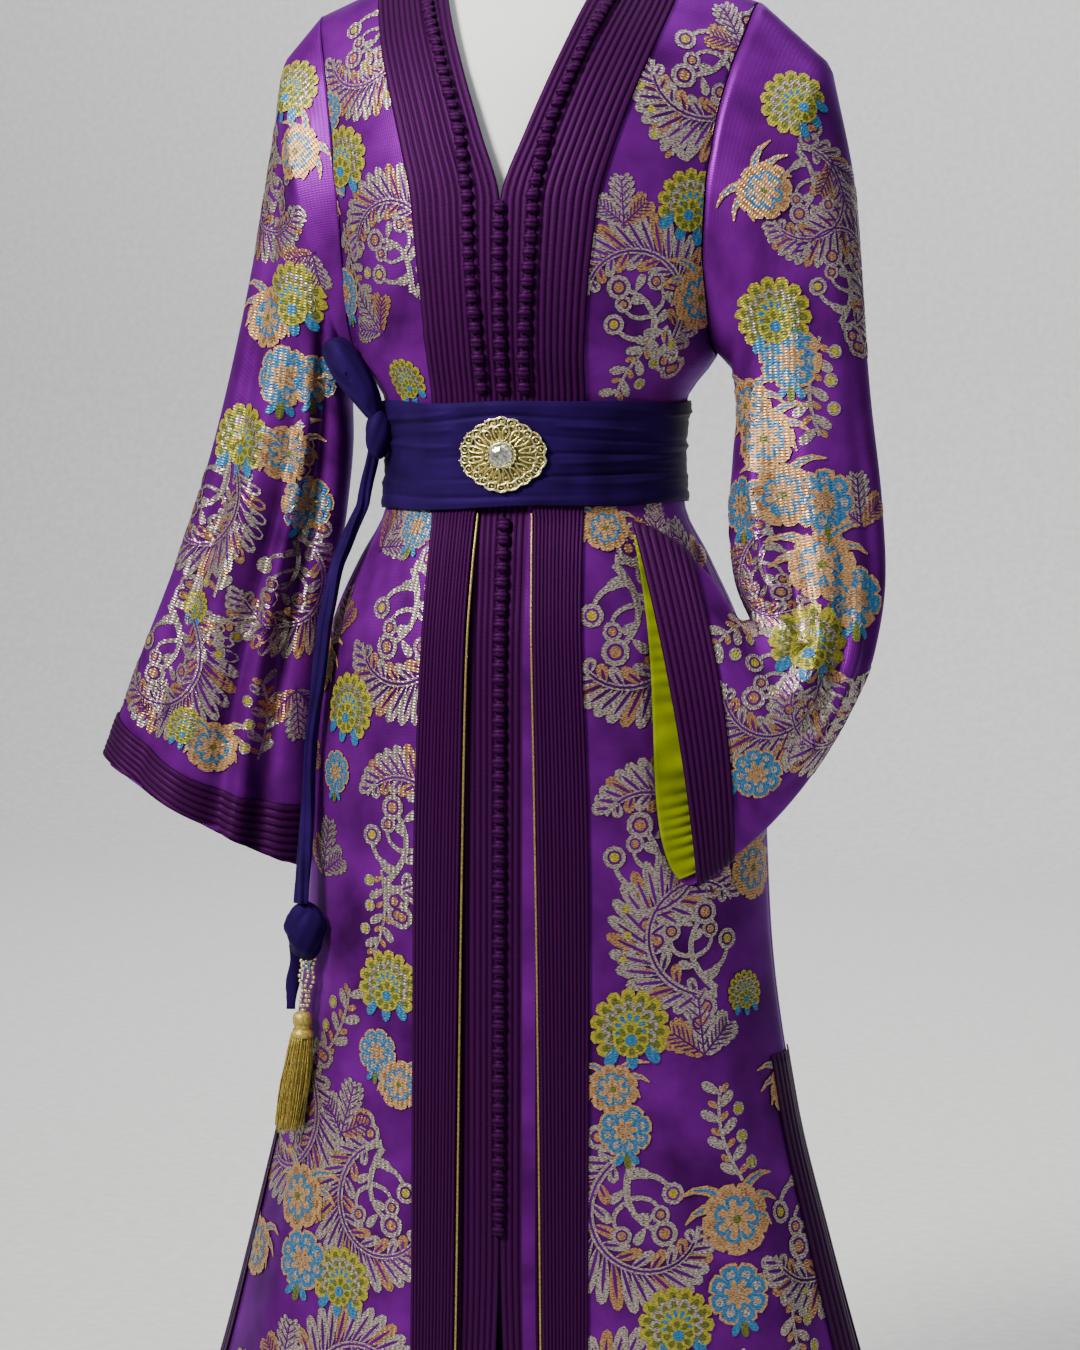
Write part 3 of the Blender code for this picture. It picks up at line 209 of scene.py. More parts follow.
def creaseDepth(angle, station):
    # soft troughs and ridges, kept off the waist where the sash lies
    total = np.zeros(np.broadcast(angle, station).shape)
    for middle, at, half, wide, lean, depth in body["creases"]:
        across = (angle - math.radians(middle)) * 0.15
        up = station - at
        tilt = math.radians(lean)
        along = up * math.cos(tilt) + across * math.sin(tilt)
        aside = across * math.cos(tilt) - up * math.sin(tilt)
        total = total + depth * np.exp(-((along / half) ** 2) - ((aside / wide) ** 2))
    waist = smoothStep(0.930, 0.968, station) * (1 - smoothStep(1.090, 1.125, station))
    ridge = smoothStep(body["ridge"] - 0.09, body["ridge"] - 0.02, station)
    return total * (1 - waist) * (1 - ridge)


def bodyPoint(angle, station):
    angle, station = np.broadcast_arrays(np.asarray(angle, dtype=float), np.asarray(station, dtype=float))
    height = stationHeight(station)
    fore = np.cos(angle)
    depth = np.where(fore > 0, frontDepth(height), backDepth(height)) * roundOver(station)
    out = foldDepth(angle, height) + creaseDepth(angle, station)
    x = (halfWidth(height) + out) * np.sin(angle)
    y = seamBack(height) - (depth + out * np.abs(fore)) * fore
    rise = np.clip((height - body["underarm"]) / body["yokeRise"], 0, 1)
    z = np.where(rise > 0, body["underarm"] + (shoulderLine(x) - body["underarm"]) * rise, height)
    return np.stack([x, y, z], axis=-1)


def unit(way):
    return way / np.maximum(np.linalg.norm(way, axis=-1, keepdims=True), 1e-12)


def bodyNormal(angle, station):
    small = 0.002
    station = np.asarray(station, dtype=float)
    across = bodyPoint(angle + small, station) - bodyPoint(angle - small, station)
    high = bodyPoint(angle, np.minimum(station + small, body["ridge"] - 1e-5))
    return unit(np.cross(across, high - bodyPoint(angle, station - small)))


def cloth(angle, station, out):
    # a place that much outside the cloth's outer face; out may differ from point to point
    place = bodyPoint(angle, station)
    way = bodyNormal(angle, station)
    top = np.broadcast_to(np.asarray(station) > body["ridge"] - 1e-6, way.shape[:-1])
    way = np.where(top[..., None], unit(way * np.array([1, 0, 1])), way)
    return place + way * np.asarray(out)[..., None]


def angleAt(x, station):
    return np.arcsin(np.clip(x / halfWidth(stationHeight(station)), -1, 1))


def armAngle(station):
    height = stationHeight(station)
    above = np.arcsin(np.clip(armEdge(height) / halfWidth(height), -1, 1))
    return np.where(np.asarray(station) > body["underarm"], above, math.pi / 2)


def sideAngle(station, front):
    height = stationHeight(station)
    depth = frontDepth(height) if front else backDepth(height)
    drawn = braid["slitDraw"] * (1 - smoothStep(body["hem"], braid["slitTop"], station))
    return armAngle(station) - drawn / depth


def linear(hexColour):
    parts = [int(hexColour[i:i + 2], 16) / 255 for i in (0, 2, 4)]
    return tuple(c / 12.92 if c <= 0.04045 else ((c + 0.055) / 1.055) ** 2.4 for c in parts) + (1.0,)


def addNode(tree, kind, settings=None, links=None):
    # names in small letters are the node's own settings, the rest its inputs, and stops a ramp's two tones
    node = tree.nodes.new(kind)
    for key, value in (settings or {}).items():
        if key == "stops":
            for element, (position, tone) in zip(node.color_ramp.elements, value):
                element.position = position
                element.color = linear(tone)
        elif isinstance(key, str) and key[0].islower():
            setattr(node, key, value)
        else:
            node.inputs[key].default_value = value
    for key, source in (links or {}).items():
        tree.links.new(source, node.inputs[key])
    return node


def newMaterial(name, hexColour, roughness, metallic=0.0):
    made = bpy.data.materials.new(name)
    made.use_nodes = True
    shader = made.node_tree.nodes["Principled BSDF"]
    shader.inputs["Base Color"].default_value = linear(hexColour)
    shader.inputs["Roughness"].default_value = roughness
    shader.inputs["Metallic"].default_value = metallic
    made.diffuse_color = linear(hexColour)
    return made, made.node_tree, shader


def threadBump(tree, shader, across, along, strength, distance):
    # two crossed sets of threads, each thread and the gap beside it that many millimetres wide
    place = addNode(tree, "ShaderNodeUVMap", {"uv_map": "cloth"})
    threads = {}
    for slot, (direction, wide, wobble) in enumerate((("X", across, 0.6), ("Y", along, 0.8))):
        settings = {"bands_direction": direction, "Scale": 1000 / wide / 20 * math.pi,
                    "Distortion": wobble, "Detail": 1.0}
        wave = addNode(tree, "ShaderNodeTexWave", settings, {"Vector": place.outputs["UV"]})
        threads[slot] = wave.outputs["Fac"]
    both = addNode(tree, "ShaderNodeMath", {"operation": "MULTIPLY"}, threads)
    bump = addNode(tree, "ShaderNodeBump", {"Strength": strength, "Distance": distance},
                   {"Height": both.outputs["Value"]})
    tree.links.new(bump.outputs["Normal"], shader.inputs["Normal"])
    return place


def silkGround():
    # silk satin ground, woven: deep violet with a bright glaze where it turns to the light
    made, tree, shader = newMaterial("silk satin ground", "7414A4", 0.40, 0.45)
    place = threadBump(tree, shader, 1.1, 1.6, 0.25, 0.0003)
    cloud = addNode(tree, "ShaderNodeTexNoise", {"Scale": 14.0, "Detail": 3.0},
                    {"Vector": place.outputs["UV"]})
    stops = ((0.30, "3A064A"), (0.72, "6C1088"))
    ramp = addNode(tree, "ShaderNodeValToRGB", {"stops": stops}, {"Fac": cloud.outputs["Fac"]})
    tree.links.new(ramp.outputs["Color"], shader.inputs["Base Color"])
    shader.inputs["Specular IOR Level"].default_value = 0.2
    shader.inputs["Specular Tint"].default_value = linear("C060F0")
    return made


def lurex(name, darkHex, lightHex, roughness, metallic):
    # metallised weft floats: narrow bright and dark threads side by side
    made, tree, shader = newMaterial(name, lightHex, roughness, metallic)
    place = threadBump(tree, shader, 2.4, 1.3, 0.6, 0.0006)
    dash = addNode(tree, "ShaderNodeMapping", {"Scale": (380, 1500, 1)}, {"Vector": place.outputs["UV"]})
    speckle = addNode(tree, "ShaderNodeTexNoise", {"Scale": 1.0, "Detail": 2.0},
                      {"Vector": dash.outputs["Vector"]})
    stops = ((0.36, darkHex), (0.62, lightHex))
    ramp = addNode(tree, "ShaderNodeValToRGB", {"stops": stops}, {"Fac": speckle.outputs["Fac"]})
    tree.links.new(ramp.outputs["Color"], shader.inputs["Base Color"])
    return made


def ribbedBraid():
    # rayon braid: plum cords side by side, with painted shade in the grooves between them and a painted
    # highlight on their tops
    made, tree, shader = newMaterial("rayon braid", "3A0842", 0.5)
    place = addNode(tree, "ShaderNodeUVMap", {"uv_map": "cloth"})
    apart = addNode(tree, "ShaderNodeSeparateXYZ", {}, {"Vector": place.outputs["UV"]})
    turn = addNode(tree, "ShaderNodeMath", {"operation": "MULTIPLY", 1: math.pi / braid["ribPitch"]},
                   {0: apart.outputs["X"]})
    wave = addNode(tree, "ShaderNodeMath", {"operation": "SINE"}, {0: turn.outputs["Value"]})
    top = addNode(tree, "ShaderNodeMath", {"operation": "ABSOLUTE"}, {0: wave.outputs["Value"]})
    slub = addNode(tree, "ShaderNodeMapping", {"Scale": (300, 500, 1)}, {"Vector": place.outputs["UV"]})
    noise = addNode(tree, "ShaderNodeTexNoise", {"Scale": 1.0, "Detail": 2.0},
                    {"Vector": slub.outputs["Vector"]})
    part = addNode(tree, "ShaderNodeMath", {"operation": "MULTIPLY_ADD", 1: 0.45, 2: -0.2},
                   {0: noise.outputs["Fac"]})
    both = addNode(tree, "ShaderNodeMath", {"operation": "ADD"},
                   {0: top.outputs["Value"], 1: part.outputs["Value"]})
    # the ramp paints shade into the grooves and a lighter top on each cord, read from the rib shape with a
    # little slub noise
    stops = ((0.12, "0C010F"), (0.95, "300636"))
    ramp = addNode(tree, "ShaderNodeValToRGB", {"stops": stops}, {"Fac": both.outputs["Value"]})
    tree.links.new(ramp.outputs["Color"], shader.inputs["Base Color"])
    bump = addNode(tree, "ShaderNodeBump", {"Strength": 0.6, "Distance": 0.0006},
                   {"Height": both.outputs["Value"]})
    tree.links.new(bump.outputs["Normal"], shader.inputs["Normal"])
    shader.inputs["Specular IOR Level"].default_value = 0.35
    shader.inputs["Specular Tint"].default_value = linear("9A40B0")
    return made


def plainSatin(name, darkHex, lightHex, roughness, tintHex):
    # dyed satin with a faint cross thread and slow colour drift
    made, tree, shader = newMaterial(name, lightHex, roughness)
    place = threadBump(tree, shader, 1.0, 1.2, 0.15, 0.0002)
    cloud = addNode(tree, "ShaderNodeTexNoise", {"Scale": 22.0, "Detail": 2.0},
                    {"Vector": place.outputs["UV"]})
    stops = ((0.3, darkHex), (0.7, lightHex))
    ramp = addNode(tree, "ShaderNodeValToRGB", {"stops": stops}, {"Fac": cloud.outputs["Fac"]})
    tree.links.new(ramp.outputs["Color"], shader.inputs["Base Color"])
    shader.inputs["Specular IOR Level"].default_value = 0.3
    shader.inputs["Specular Tint"].default_value = linear(tintHex)
    return made


def objectNoise(name, darkHex, lightHex, roughness, metallic, scale, bump):
    # a solid finish with a fine grain read from the object's own metres
    made, tree, shader = newMaterial(name, lightHex, roughness, metallic)
    place = addNode(tree, "ShaderNodeTexCoord")
    noise = addNode(tree, "ShaderNodeTexNoise", {"Scale": scale, "Detail": 3.0},
                    {"Vector": place.outputs["Object"]})
    stops = ((0.35, darkHex), (0.65, lightHex))
    ramp = addNode(tree, "ShaderNodeValToRGB", {"stops": stops}, {"Fac": noise.outputs["Fac"]})
    tree.links.new(ramp.outputs["Color"], shader.inputs["Base Color"])
    grain = addNode(tree, "ShaderNodeBump", {"Strength": 0.4, "Distance": bump},
                    {"Height": noise.outputs["Fac"]})
    tree.links.new(grain.outputs["Normal"], shader.inputs["Normal"])
    return made


ground = silkGround()
silver = lurex("silver lurex weft", "301C2A", "D0C4B8", 0.36, 0.80)
roseGold = lurex("rose gold lurex weft", "4E2C1C", "D4A472", 0.36, 0.78)
peach = lurex("peach rayon weft", "6E4826", "CCA470", 0.42, 0.45)
lime = lurex("lime rayon weft", "56600E", "BCAC34", 0.40, 0.4)
olive = lurex("olive rayon weft", "2C3610", "6C7420", 0.45, 0.35)
blue = lurex("blue rayon weft", "103C70", "3484B4", 0.40, 0.4)
motifMaterials = [silver, roseGold, peach, lime, olive, blue, ground]
inkOf = {"silver": 0, "rose": 1, "peach": 2, "lime": 3, "olive": 4, "blue": 5, "violet": 6}
braidMaterial = ribbedBraid()
indigo = plainSatin("indigo satin", "12062A", "1F0A44", 0.56, "4A2896")
limeSatin = plainSatin("lime silk satin", "4C5A04", "7E8C0C", 0.30, "E0E840")
goldCord = objectNoise("gold twisted cord", "8C7430", "D8C078", 0.38, 0.8, 900, 0.0003)
goldThread = objectNoise("gold rayon thread", "8A7428", "CDB95C", 0.45, 0.45, 700, 0.0003)
bead = newMaterial("gilt glass bead", "D8C890", 0.18, 0.7)[0]
# the buckle's backing plate: its gold is painted darker than the wires' as shade in the hollows between them
giltShadedRecess = objectNoise("gilt brass, painted darker as shade in its hollows", "62561C", "A8984A", 0.42, 0.9, 500, 0.0002)
gilt = objectNoise("gilt brass wire", "DCD28C", "FFFAD0", 0.26, 1.0, 500, 0.0001)
crystal = objectNoise("foiled crystal", "7E8472", "FCFBF2", 0.08, 0.8, 330, 0.0006)
linenCover = objectNoise("painted linen cover", "D2D8D6", "E4E9E7", 0.85, 0.0, 1400, 0.0002)
standPaint = objectNoise("satin enamel on iron", "3A3A3C", "464648", 0.42, 0.0, 300, 0.0001)
print("materials ready")


def addPiece(name, verts, faces, material, uvs=None, faceInks=None):
    # one piece from points and faces, with a metre-scaled map where it has one
    mesh = bpy.data.meshes.new(name)
    mesh.from_pydata([tuple(v) for v in verts], [], [tuple(int(i) for i in f) for f in faces])
    for one in (material if isinstance(material, list) else [material]):
        mesh.materials.append(one)
    if uvs is not None:
        layer = mesh.uv_layers.new(name="cloth")
        corners = np.zeros(len(mesh.loops), dtype=np.int32)
        mesh.loops.foreach_get("vertex_index", corners)
        layer.data.foreach_set("uv", np.asarray(uvs, dtype=np.float32)[corners].ravel())
    if faceInks is not None:
        mesh.polygons.foreach_set("material_index", np.asarray(faceInks, dtype=np.int32))
    mesh.shade_smooth()
    mesh.update()
    piece = bpy.data.objects.new(name, mesh)
    bpy.context.scene.collection.objects.link(piece)
    return piece


def place(piece, slotName, *nodes):
    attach(piece, "root")
    if nodes:
        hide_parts(*nodes)
    return piece


def gridFaces(rows, columns, ring=False, flip=False):
    r, c = np.meshgrid(np.arange(rows - 1), np.arange(columns if ring else columns - 1), indexing="ij")
    a = r * columns + c
    b = r * columns + (c + 1) % columns
    quads = np.stack([a, b, b + columns, a + columns], axis=-1).reshape(-1, 4)
    return quads[:, ::-1] if flip else quads


def clothMap(points):
    # the map of a panel: metres from its middle line, and metres up
    across = np.linalg.norm(np.diff(points, axis=1), axis=-1)
    up = np.linalg.norm(np.diff(points, axis=0), axis=-1).mean(axis=1)
    u = np.concatenate([np.zeros((len(points), 1)), np.cumsum(across, axis=1)], axis=1)
    u -= u.mean(axis=1, keepdims=True)
    return np.stack(np.broadcast_arrays(u, runningLength(up)[:, None]), axis=-1)


def ribMap(points, ribs, ribsAcross):
    # the map of a braid: one rib pitch to each rib, and metres along them
    rows, columns = points.shape[:2]
    side = 1 if ribsAcross else 0
    pitch = np.linspace(0, ribs * braid["ribPitch"], columns if ribsAcross else rows)
    along = runningLength(np.linalg.norm(np.diff(points, axis=1 - side), axis=-1).mean(axis=side))
    u, v = (pitch[None, :], along[:, None]) if ribsAcross else (pitch[:, None], along[None, :])
    return np.stack(np.broadcast_arrays(u, v), axis=-1)


def clothPiece(name, points, material, thick, ring=False, flip=False, uvs=None, ribs=0, ribsAcross=True):
    # a grid of points as cloth, with its wall going inwards
    rows, columns = points.shape[:2]
    if uvs is None:
        uvs = ribMap(points, ribs, ribsAcross) if ribs else clothMap(points)
    faces = gridFaces(rows, columns, ring, flip)
    piece = addPiece(name, points.reshape(-1, 3), faces, material, uvs.reshape(-1, 2))
    wall = piece.modifiers.new("wall", "SOLIDIFY")
    wall.thickness = thick
    wall.offset = -1
    wall.use_even_offset = False
    return piece


def surfaceArea(piece):
    return sum(p.area for p in piece.data.polygons)


def declareSheet(piece, width, length, withPieces=()):
    area = min(surfaceArea(piece), width * length)
    list(withPieces)


# the sleeves: sections from the shoulder to the mouth, on the wearer's left
sleeves = {
    # outer X Y Z, inner X Y Z, half thickness, facing in degrees, bow
    "hanging": [
        (0.236, 0.018, 1.388, 0.172, 0.004, 1.118, 0.062, 0, 0.000),
        (0.254, 0.016, 1.285, 0.175, 0.004, 1.085, 0.050, 0, 0.000),
        (0.275, 0.014, 1.178, 0.174, 0.006, 1.045, 0.042, 0, 0.000),
        (0.308, 0.012, 1.043, 0.181, 0.008, 0.975, 0.038, 0, 0.000),
        (0.345, 0.012, 0.935, 0.200, 0.012, 0.895, 0.036, 0, 0.000),
        (0.385, 0.014, 0.840, 0.216, 0.016, 0.785, 0.033, 0, 0.006),
        (0.422, 0.018, 0.748, 0.226, 0.020, 0.648, 0.030, 0, 0.016),
    ],
    "tucked": [
        (0.262, 0.020, 1.370, 0.180, 0.003, 1.105, 0.062, 0, 0.000),
        (0.286, 0.012, 1.260, 0.184, 0.001, 1.070, 0.050, 4, 0.000),
        (0.294, 0.006, 1.170, 0.181, -0.002, 1.030, 0.044, 6, 0.000),
        (0.303, 0.000, 1.080, 0.180, -0.012, 0.990, 0.040, 8, 0.000),
        (0.314, -0.003, 0.992, 0.184, -0.024, 0.948, 0.035, 12, 0.000),
        (0.319, -0.012, 0.922, 0.193, -0.037, 0.915, 0.030, 18, 0.004),
        (0.312, -0.026, 0.860, 0.206, -0.049, 0.892, 0.026, 24, 0.008),
        (0.292, -0.046, 0.806, 0.210, -0.059, 0.887, 0.022, 28, 0.012),
        (0.262, -0.066, 0.752, 0.202, -0.070, 0.889, 0.018, 30, 0.016),
        (0.224, -0.082, 0.706, 0.184, -0.080, 0.920, 0.015, 32, 0.018),
        (0.194, -0.090, 0.680, 0.152, -0.088, 0.953, 0.012, 32, 0.020),
        (0.170, -0.096, 0.662, 0.112, -0.094, 0.972, 0.010, 28, 0.020),
        (0.138, -0.106, 0.650, 0.076, -0.100, 0.973, 0.009, 24, 0.018),
    ],
    "clear": 0.008,
    "armholeGap": 0.0010,
    "hangingMouth": 7.0,
    "tuckedMouth": 12.0,
    "liningReach": 1.25,
    "hangingCuff": 0.42,
    "tuckedCuff": 1.25,
    # turn in degrees, row, half turn, half rows, depth
    "hangingCreases": [
        (104, 5.6, 7, 2.4, -0.0110), (130, 4.8, 8, 2.6, -0.0160), (116, 5.2, 7, 2.4, 0.0080),
        (82, 5.2, 11, 2.4, 0.0080), (55, 5.0, 9, 2.4, -0.0085), (140, 4.2, 9, 1.8, -0.0035),
        (100, 2.4, 12, 1.0, 0.0030), (60, 2.0, 10, 1.3, -0.0030), (250, 5.0, 12, 2.2, 0.0050),
        (285, 4.6, 11, 2.0, -0.0045), (225, 3.6, 11, 1.8, -0.0035), (310, 3.2, 10, 1.8, 0.0030),
    ],
    "tuckedCreases": [
        (80, 5.2, 12, 1.5, 0.0060), (108, 6.3, 7, 1.6, -0.0090), (126, 5.6, 6, 1.3, 0.0050),
        (92, 7.3, 6, 1.4, 0.0050), (68, 7.4, 8, 1.7, -0.0085), (50, 8.4, 7, 1.5, 0.0045),
        (90, 8.6, 12, 1.4, 0.0035), (128, 3.9, 12, 1.6, 0.0055), (70, 3.0, 10, 1.4, -0.0030),
        (100, 1.8, 12, 0.9, -0.0030), (40, 5.8, 10, 1.8, -0.0030), (250, 4.8, 13, 1.8, 0.0040),
        (285, 6.0, 12, 1.6, -0.0035), (230, 2.8, 12, 1.6, -0.0030),
    ],
}


def sleeveReader(rows):
    numbered = [(i + 1,) + row for i, row in enumerate(rows)]
    columns = [smoothColumn(numbered, i + 1) for i in range(len(rows[0]))]

    def read(row):
        values = [column(row) for column in columns]
        outer, inner = np.stack(values[0:3], -1), np.stack(values[3:6], -1)
        return outer, inner, values[6], np.radians(values[7]), values[8]

    return read


def offBody(point):
    # pushes a point level and outwards until it clears the body's cloth
    height = point[..., 2]
    back = seamBack(height)
    depth = np.where(point[..., 1] < back, frontDepth(height), backDepth(height)) + sleeves["clear"]
    wide = halfWidth(height) + sleeves["clear"]
    share = np.hypot(point[..., 0] / wide, (point[..., 1] - back) / depth)
    share = np.where((height > body["underarm"]) | (share >= 1), 1.0, share)
    return np.stack([point[..., 0] / share, (point[..., 1] - back) / share + back, height], -1)


def sleeveRing(reader, row, turn):
    row, turn = np.broadcast_arrays(np.asarray(row, dtype=float), np.asarray(turn, dtype=float))
    outer, inner, half, facing, bow = reader(row)
    way = np.stack([np.sin(facing), -np.cos(facing), np.zeros(facing.shape)], -1)
    share = (1 - np.cos(turn)) / 2
    middle = outer + (inner - outer) * share[..., None] + way * (bow * np.sin(share * math.pi))[..., None]
    thick = way * (half * np.sin(turn))[..., None]
    shifts = [offBody(middle + side * thick) - (middle + side * thick) for side in (1, -1)]
    longer = np.linalg.norm(shifts[0], axis=-1) >= np.linalg.norm(shifts[1], axis=-1)
    return middle + thick + np.where(longer[..., None], shifts[0], shifts[1])


def armholeRing(turn):
    drop = (1 - np.cos(turn)) / 2
    station = heightStation(body["underarm"] + body["yokeRise"] * (1 - drop))
    angle = armAngle(station)
    angle = np.where(turn > math.pi, math.pi - angle, angle)
    return bodyPoint(angle, station) + np.array([sleeves["armholeGap"], 0, 0])


def sleeveFace(reader, row, turn):
    row, turn = np.broadcast_arrays(np.asarray(row, dtype=float),
                                    np.asarray(turn, dtype=float) % (2 * math.pi))
    ring = sleeveRing(reader, np.maximum(row, 1.0), turn)
    blend = np.clip(row, 0, 1)[..., None]
    return np.where(row[..., None] >= 1, ring, armholeRing(turn) * (1 - blend) + ring * blend)


def tubeCrease(creases, row, turn):
    total = np.zeros(np.broadcast(row, turn).shape)
    for at, middle, halfTurn, halfRows, depth in creases:
        away = (np.degrees(turn) - at + 180) % 360 - 180
        total = total + depth * np.exp(-((away / halfTurn) ** 2) - (((row - middle) / halfRows) ** 2))
    return total * smoothStep(0.3, 1.4, row)


def tubePoint(reader, creases, row, turn, out):
    # a place that much outside a sleeve's outer face, its creases included
    base = sleeveFace(reader, row, turn)
    around = sleeveFace(reader, row, turn + 0.06) - sleeveFace(reader, row, turn - 0.06)
    down = sleeveFace(reader, row + 0.05, turn) - sleeveFace(reader, np.maximum(row - 0.05, 0), turn)
    way = unit(np.cross(around, down))
    out = np.asarray(out) + tubeCrease(creases, row, turn)
    return base + way * out[..., None]


def tuckedEnd(turn):
    turn = np.asarray(turn) % (2 * math.pi)
    share = (1 - np.cos(turn)) / 2
    reach = sleeves["liningReach"] * (1 - share) ** 1.8 * np.sin(turn - math.pi)
    return sleeves["tuckedMouth"] + np.where(turn > math.pi, reach, 0)


def hangingEnd(turn):
    turn = np.asarray(turn) % (2 * math.pi)
    return sleeves["hangingMouth"] + np.where(turn < math.pi, 0.13, 0.05) * np.sin(turn) ** 2


hangingReader = sleeveReader(sleeves["hanging"])
tuckedReader = sleeveReader(sleeves["tucked"])
sleeveKinds = {
    "sleeve_right": (hangingReader, sleeves["hangingCreases"], hangingEnd, sleeves["hangingCuff"], -1),
    "sleeve_left": (tuckedReader, sleeves["tuckedCreases"], tuckedEnd, sleeves["tuckedCuff"], 1),
}


# how finely each kind of cloth is gridded, and how thick its wall is
fine = {"rows": 150, "frontColumns": 40, "sleeveTurns": 120, "sleeveRows": 104, "bandRows": 170,
        "placketRows": 130, "slitRows": 60, "neckRows": 81, "cuffRows": 41, "perRib": 5}
walls = {"brocade": 0.0016, "band": 0.0016, "neckBand": 0.0036, "placket": 0.0012, "slitBand": 0.0011,
         "cuff": 0.0014, "lining": 0.0008, "sash": 0.0026, "loop": 0.0012}


def makeFront(side):
    stations = np.linspace(body["hem"], body["ridge"], fine["rows"])[:, None]
    share = np.linspace(0, 1, fine["frontColumns"])[None, :]
    start = angleAt(bandInner(stationHeight(stations)) + 0.004, stations)
    angle = start + (sideAngle(stations, True) - start) * share
    points = cloth(side * angle, stations, 0 * angle)
    top = stations[:, 0] > body["ridge"] - 1e-6
    points[top, :, 1] -= 0.0002
    name = sided("front", side)
    piece = clothPiece(f"cloth_{name}", points, ground, walls["brocade"], flip=side < 0)
    return place(piece, "brocade", name)


def neckTurn(along, edge, spare=0.0):
    reach, drop = edge
    x = (reach + spare) * np.sin(along * math.pi / 2)
    return x, body["ridge"] - (body["yokeRise"] * drop + spare) * np.cos(along * math.pi / 2)


def backGrid():
    stations = np.linspace(body["hem"], body["ridge"], fine["rows"])
    steps = np.linspace(-1, 1, 49)
    wide = halfWidth(stationHeight(body["ridge"]))
    neckline = (braid["neckOuter"][0] + 0.0006) * np.sin(steps * math.pi / 2)
    shares = np.arcsin(neckline / wide) / armAngle(body["ridge"])
    rows = []
    for station in stations:
        reach = float(sideAngle(station, False))
        middle = shares * reach
        side = np.linspace(middle[-1], reach, 16)[1:]
        turns = np.concatenate([-side[::-1], middle, side])
        rowStations = np.full(turns.shape, station)
        climb = (station - body["underarm"]) / (body["ridge"] - body["underarm"])
        if climb > 0:
            x, limit = neckTurn(steps, braid["neckOuter"], 0.0006)
            inside = slice(len(side), len(side) + len(steps))
            rowStations[inside] = body["underarm"] + (limit - body["underarm"]) * climb
            now = halfWidth(stationHeight(station)) * np.sin(turns[inside])
            turns[inside] = angleAt(now + (x - now) * climb, rowStations[inside])
        rows.append((math.pi - turns, rowStations))
    return np.array([row[0] for row in rows]), np.array([row[1] for row in rows])


def makeBack():
    angle, station = backGrid()
    points = cloth(angle, station, 0 * angle)
    top = station > body["ridge"] - 1e-6
    points[top, 1] += 0.0002
    return place(clothPiece("cloth_back", points, ground, walls["brocade"], flip=True), "brocade", "back")


def makeSleeve(name):
    reader, creases, end, cuff, side = sleeveKinds[name]
    turn = fullTurn(fine["sleeveTurns"])[None, :]
    share = np.linspace(0, 1, fine["sleeveRows"])[:, None]
    row = end(turn) * share
    points = tubePoint(reader, creases, row, turn, 0 * row)
    points[..., 0] *= side
    piece = clothPiece(f"cloth_{name}", points, ground, walls["brocade"], ring=True, flip=side < 0)
    return place(piece, "brocade", name)


fronts = {side: makeFront(side) for side in (-1, 1)}
back = makeBack()
sleevePieces = {name: makeSleeve(name) for name in sleeveKinds}
print("panels and sleeves made")


def ribProfile(share, count):
    # rounded ribs with every fourth one low, as a flat tape among the cords
    wave = np.abs(np.sin(share * math.pi * count)) ** 0.7
    return wave * np.where((share * count % 4) < 1, 0.55, 1.0)


def makeBand(side):
    stations = np.linspace(body["hem"], body["ridge"], fine["bandRows"])[:, None]
    share = np.linspace(0, 1, braid["ribs"] * fine["perRib"] + 1)[None, :]
    height = stationHeight(stations)
    low, high = bandInner(height), bandOuter(height)
    angle = side * angleAt(low + (high - low) * share, stations)
    rise = ribProfile(share, braid["ribs"]) * braid["ribRise"]
    points = cloth(angle, stations, braid["lift"] + braid["thick"] + rise + 0 * angle)
    name = sided("band", side)
    piece = clothPiece(f"braid_{name}", points, braidMaterial, walls["band"], flip=side < 0,
                       ribs=braid["ribs"])
    return place(piece, "braid", name)


def neckPoint(along, share, out):
    xIn, stationIn = neckTurn(along, braid["neckInner"])
    xOut, stationOut = neckTurn(along, braid["neckOuter"])
    x = xIn + (xOut - xIn) * share
    station = stationIn + (stationOut - stationIn) * share
    points = cloth(math.pi - angleAt(x, station), station, out)
    points[..., 1] += np.where(np.abs(along) > 1 - 1e-6, 0.0002, 0.0)
    return points


def makeNeckBand():
    along = np.linspace(-1, 1, fine["neckRows"])[:, None]
    share = np.linspace(0, 1, braid["ribs"] * fine["perRib"] + 1)[None, :]
    rise = ribProfile(share, braid["ribs"]) * braid["ribRise"]
    points = neckPoint(along, share, braid["lift"] + braid["thick"] + rise + 0 * along)
    piece = clothPiece("braid_band_neck", points, braidMaterial, walls["neckBand"], ribs=braid["ribs"])
    return place(piece, "braid", "band_neck")


def placketOut(station):
    return -0.0023 - 0.0035 * (1 - smoothStep(0.90, 0.975, station))


def makePlacket(side):
    stations = np.linspace(body["hem"], braid["placketTop"], fine["placketRows"])[:, None]
    share = np.linspace(0, 1, 55)[None, :]
    low = braid["placketOpen"] * (1 - smoothStep(body["hem"], braid["placketSplit"], stations)) + 0.0002
    x = low + (braid["placketReach"] - low) * share
    strip = (share > braid["stripFrom"]) & (share < braid["stripTo"]) if side > 0 else share > 2
    rise = np.where(strip, -0.0003, (ribProfile(share, 11) - 1) * 0.0008)
    points = cloth(side * angleAt(x, stations), stations, placketOut(stations) + rise)
    name = sided("placket", side)
    piece = clothPiece(f"braid_{name}", points, braidMaterial, walls["placket"], flip=side < 0, ribs=11)
    if side > 0:
        piece.data.materials.append(ground)
        slots = np.tile(strip[0, 1:].astype(int), points.shape[0] - 1)
        piece.data.polygons.foreach_set("material_index", slots)
    return place(piece, "braid", name)


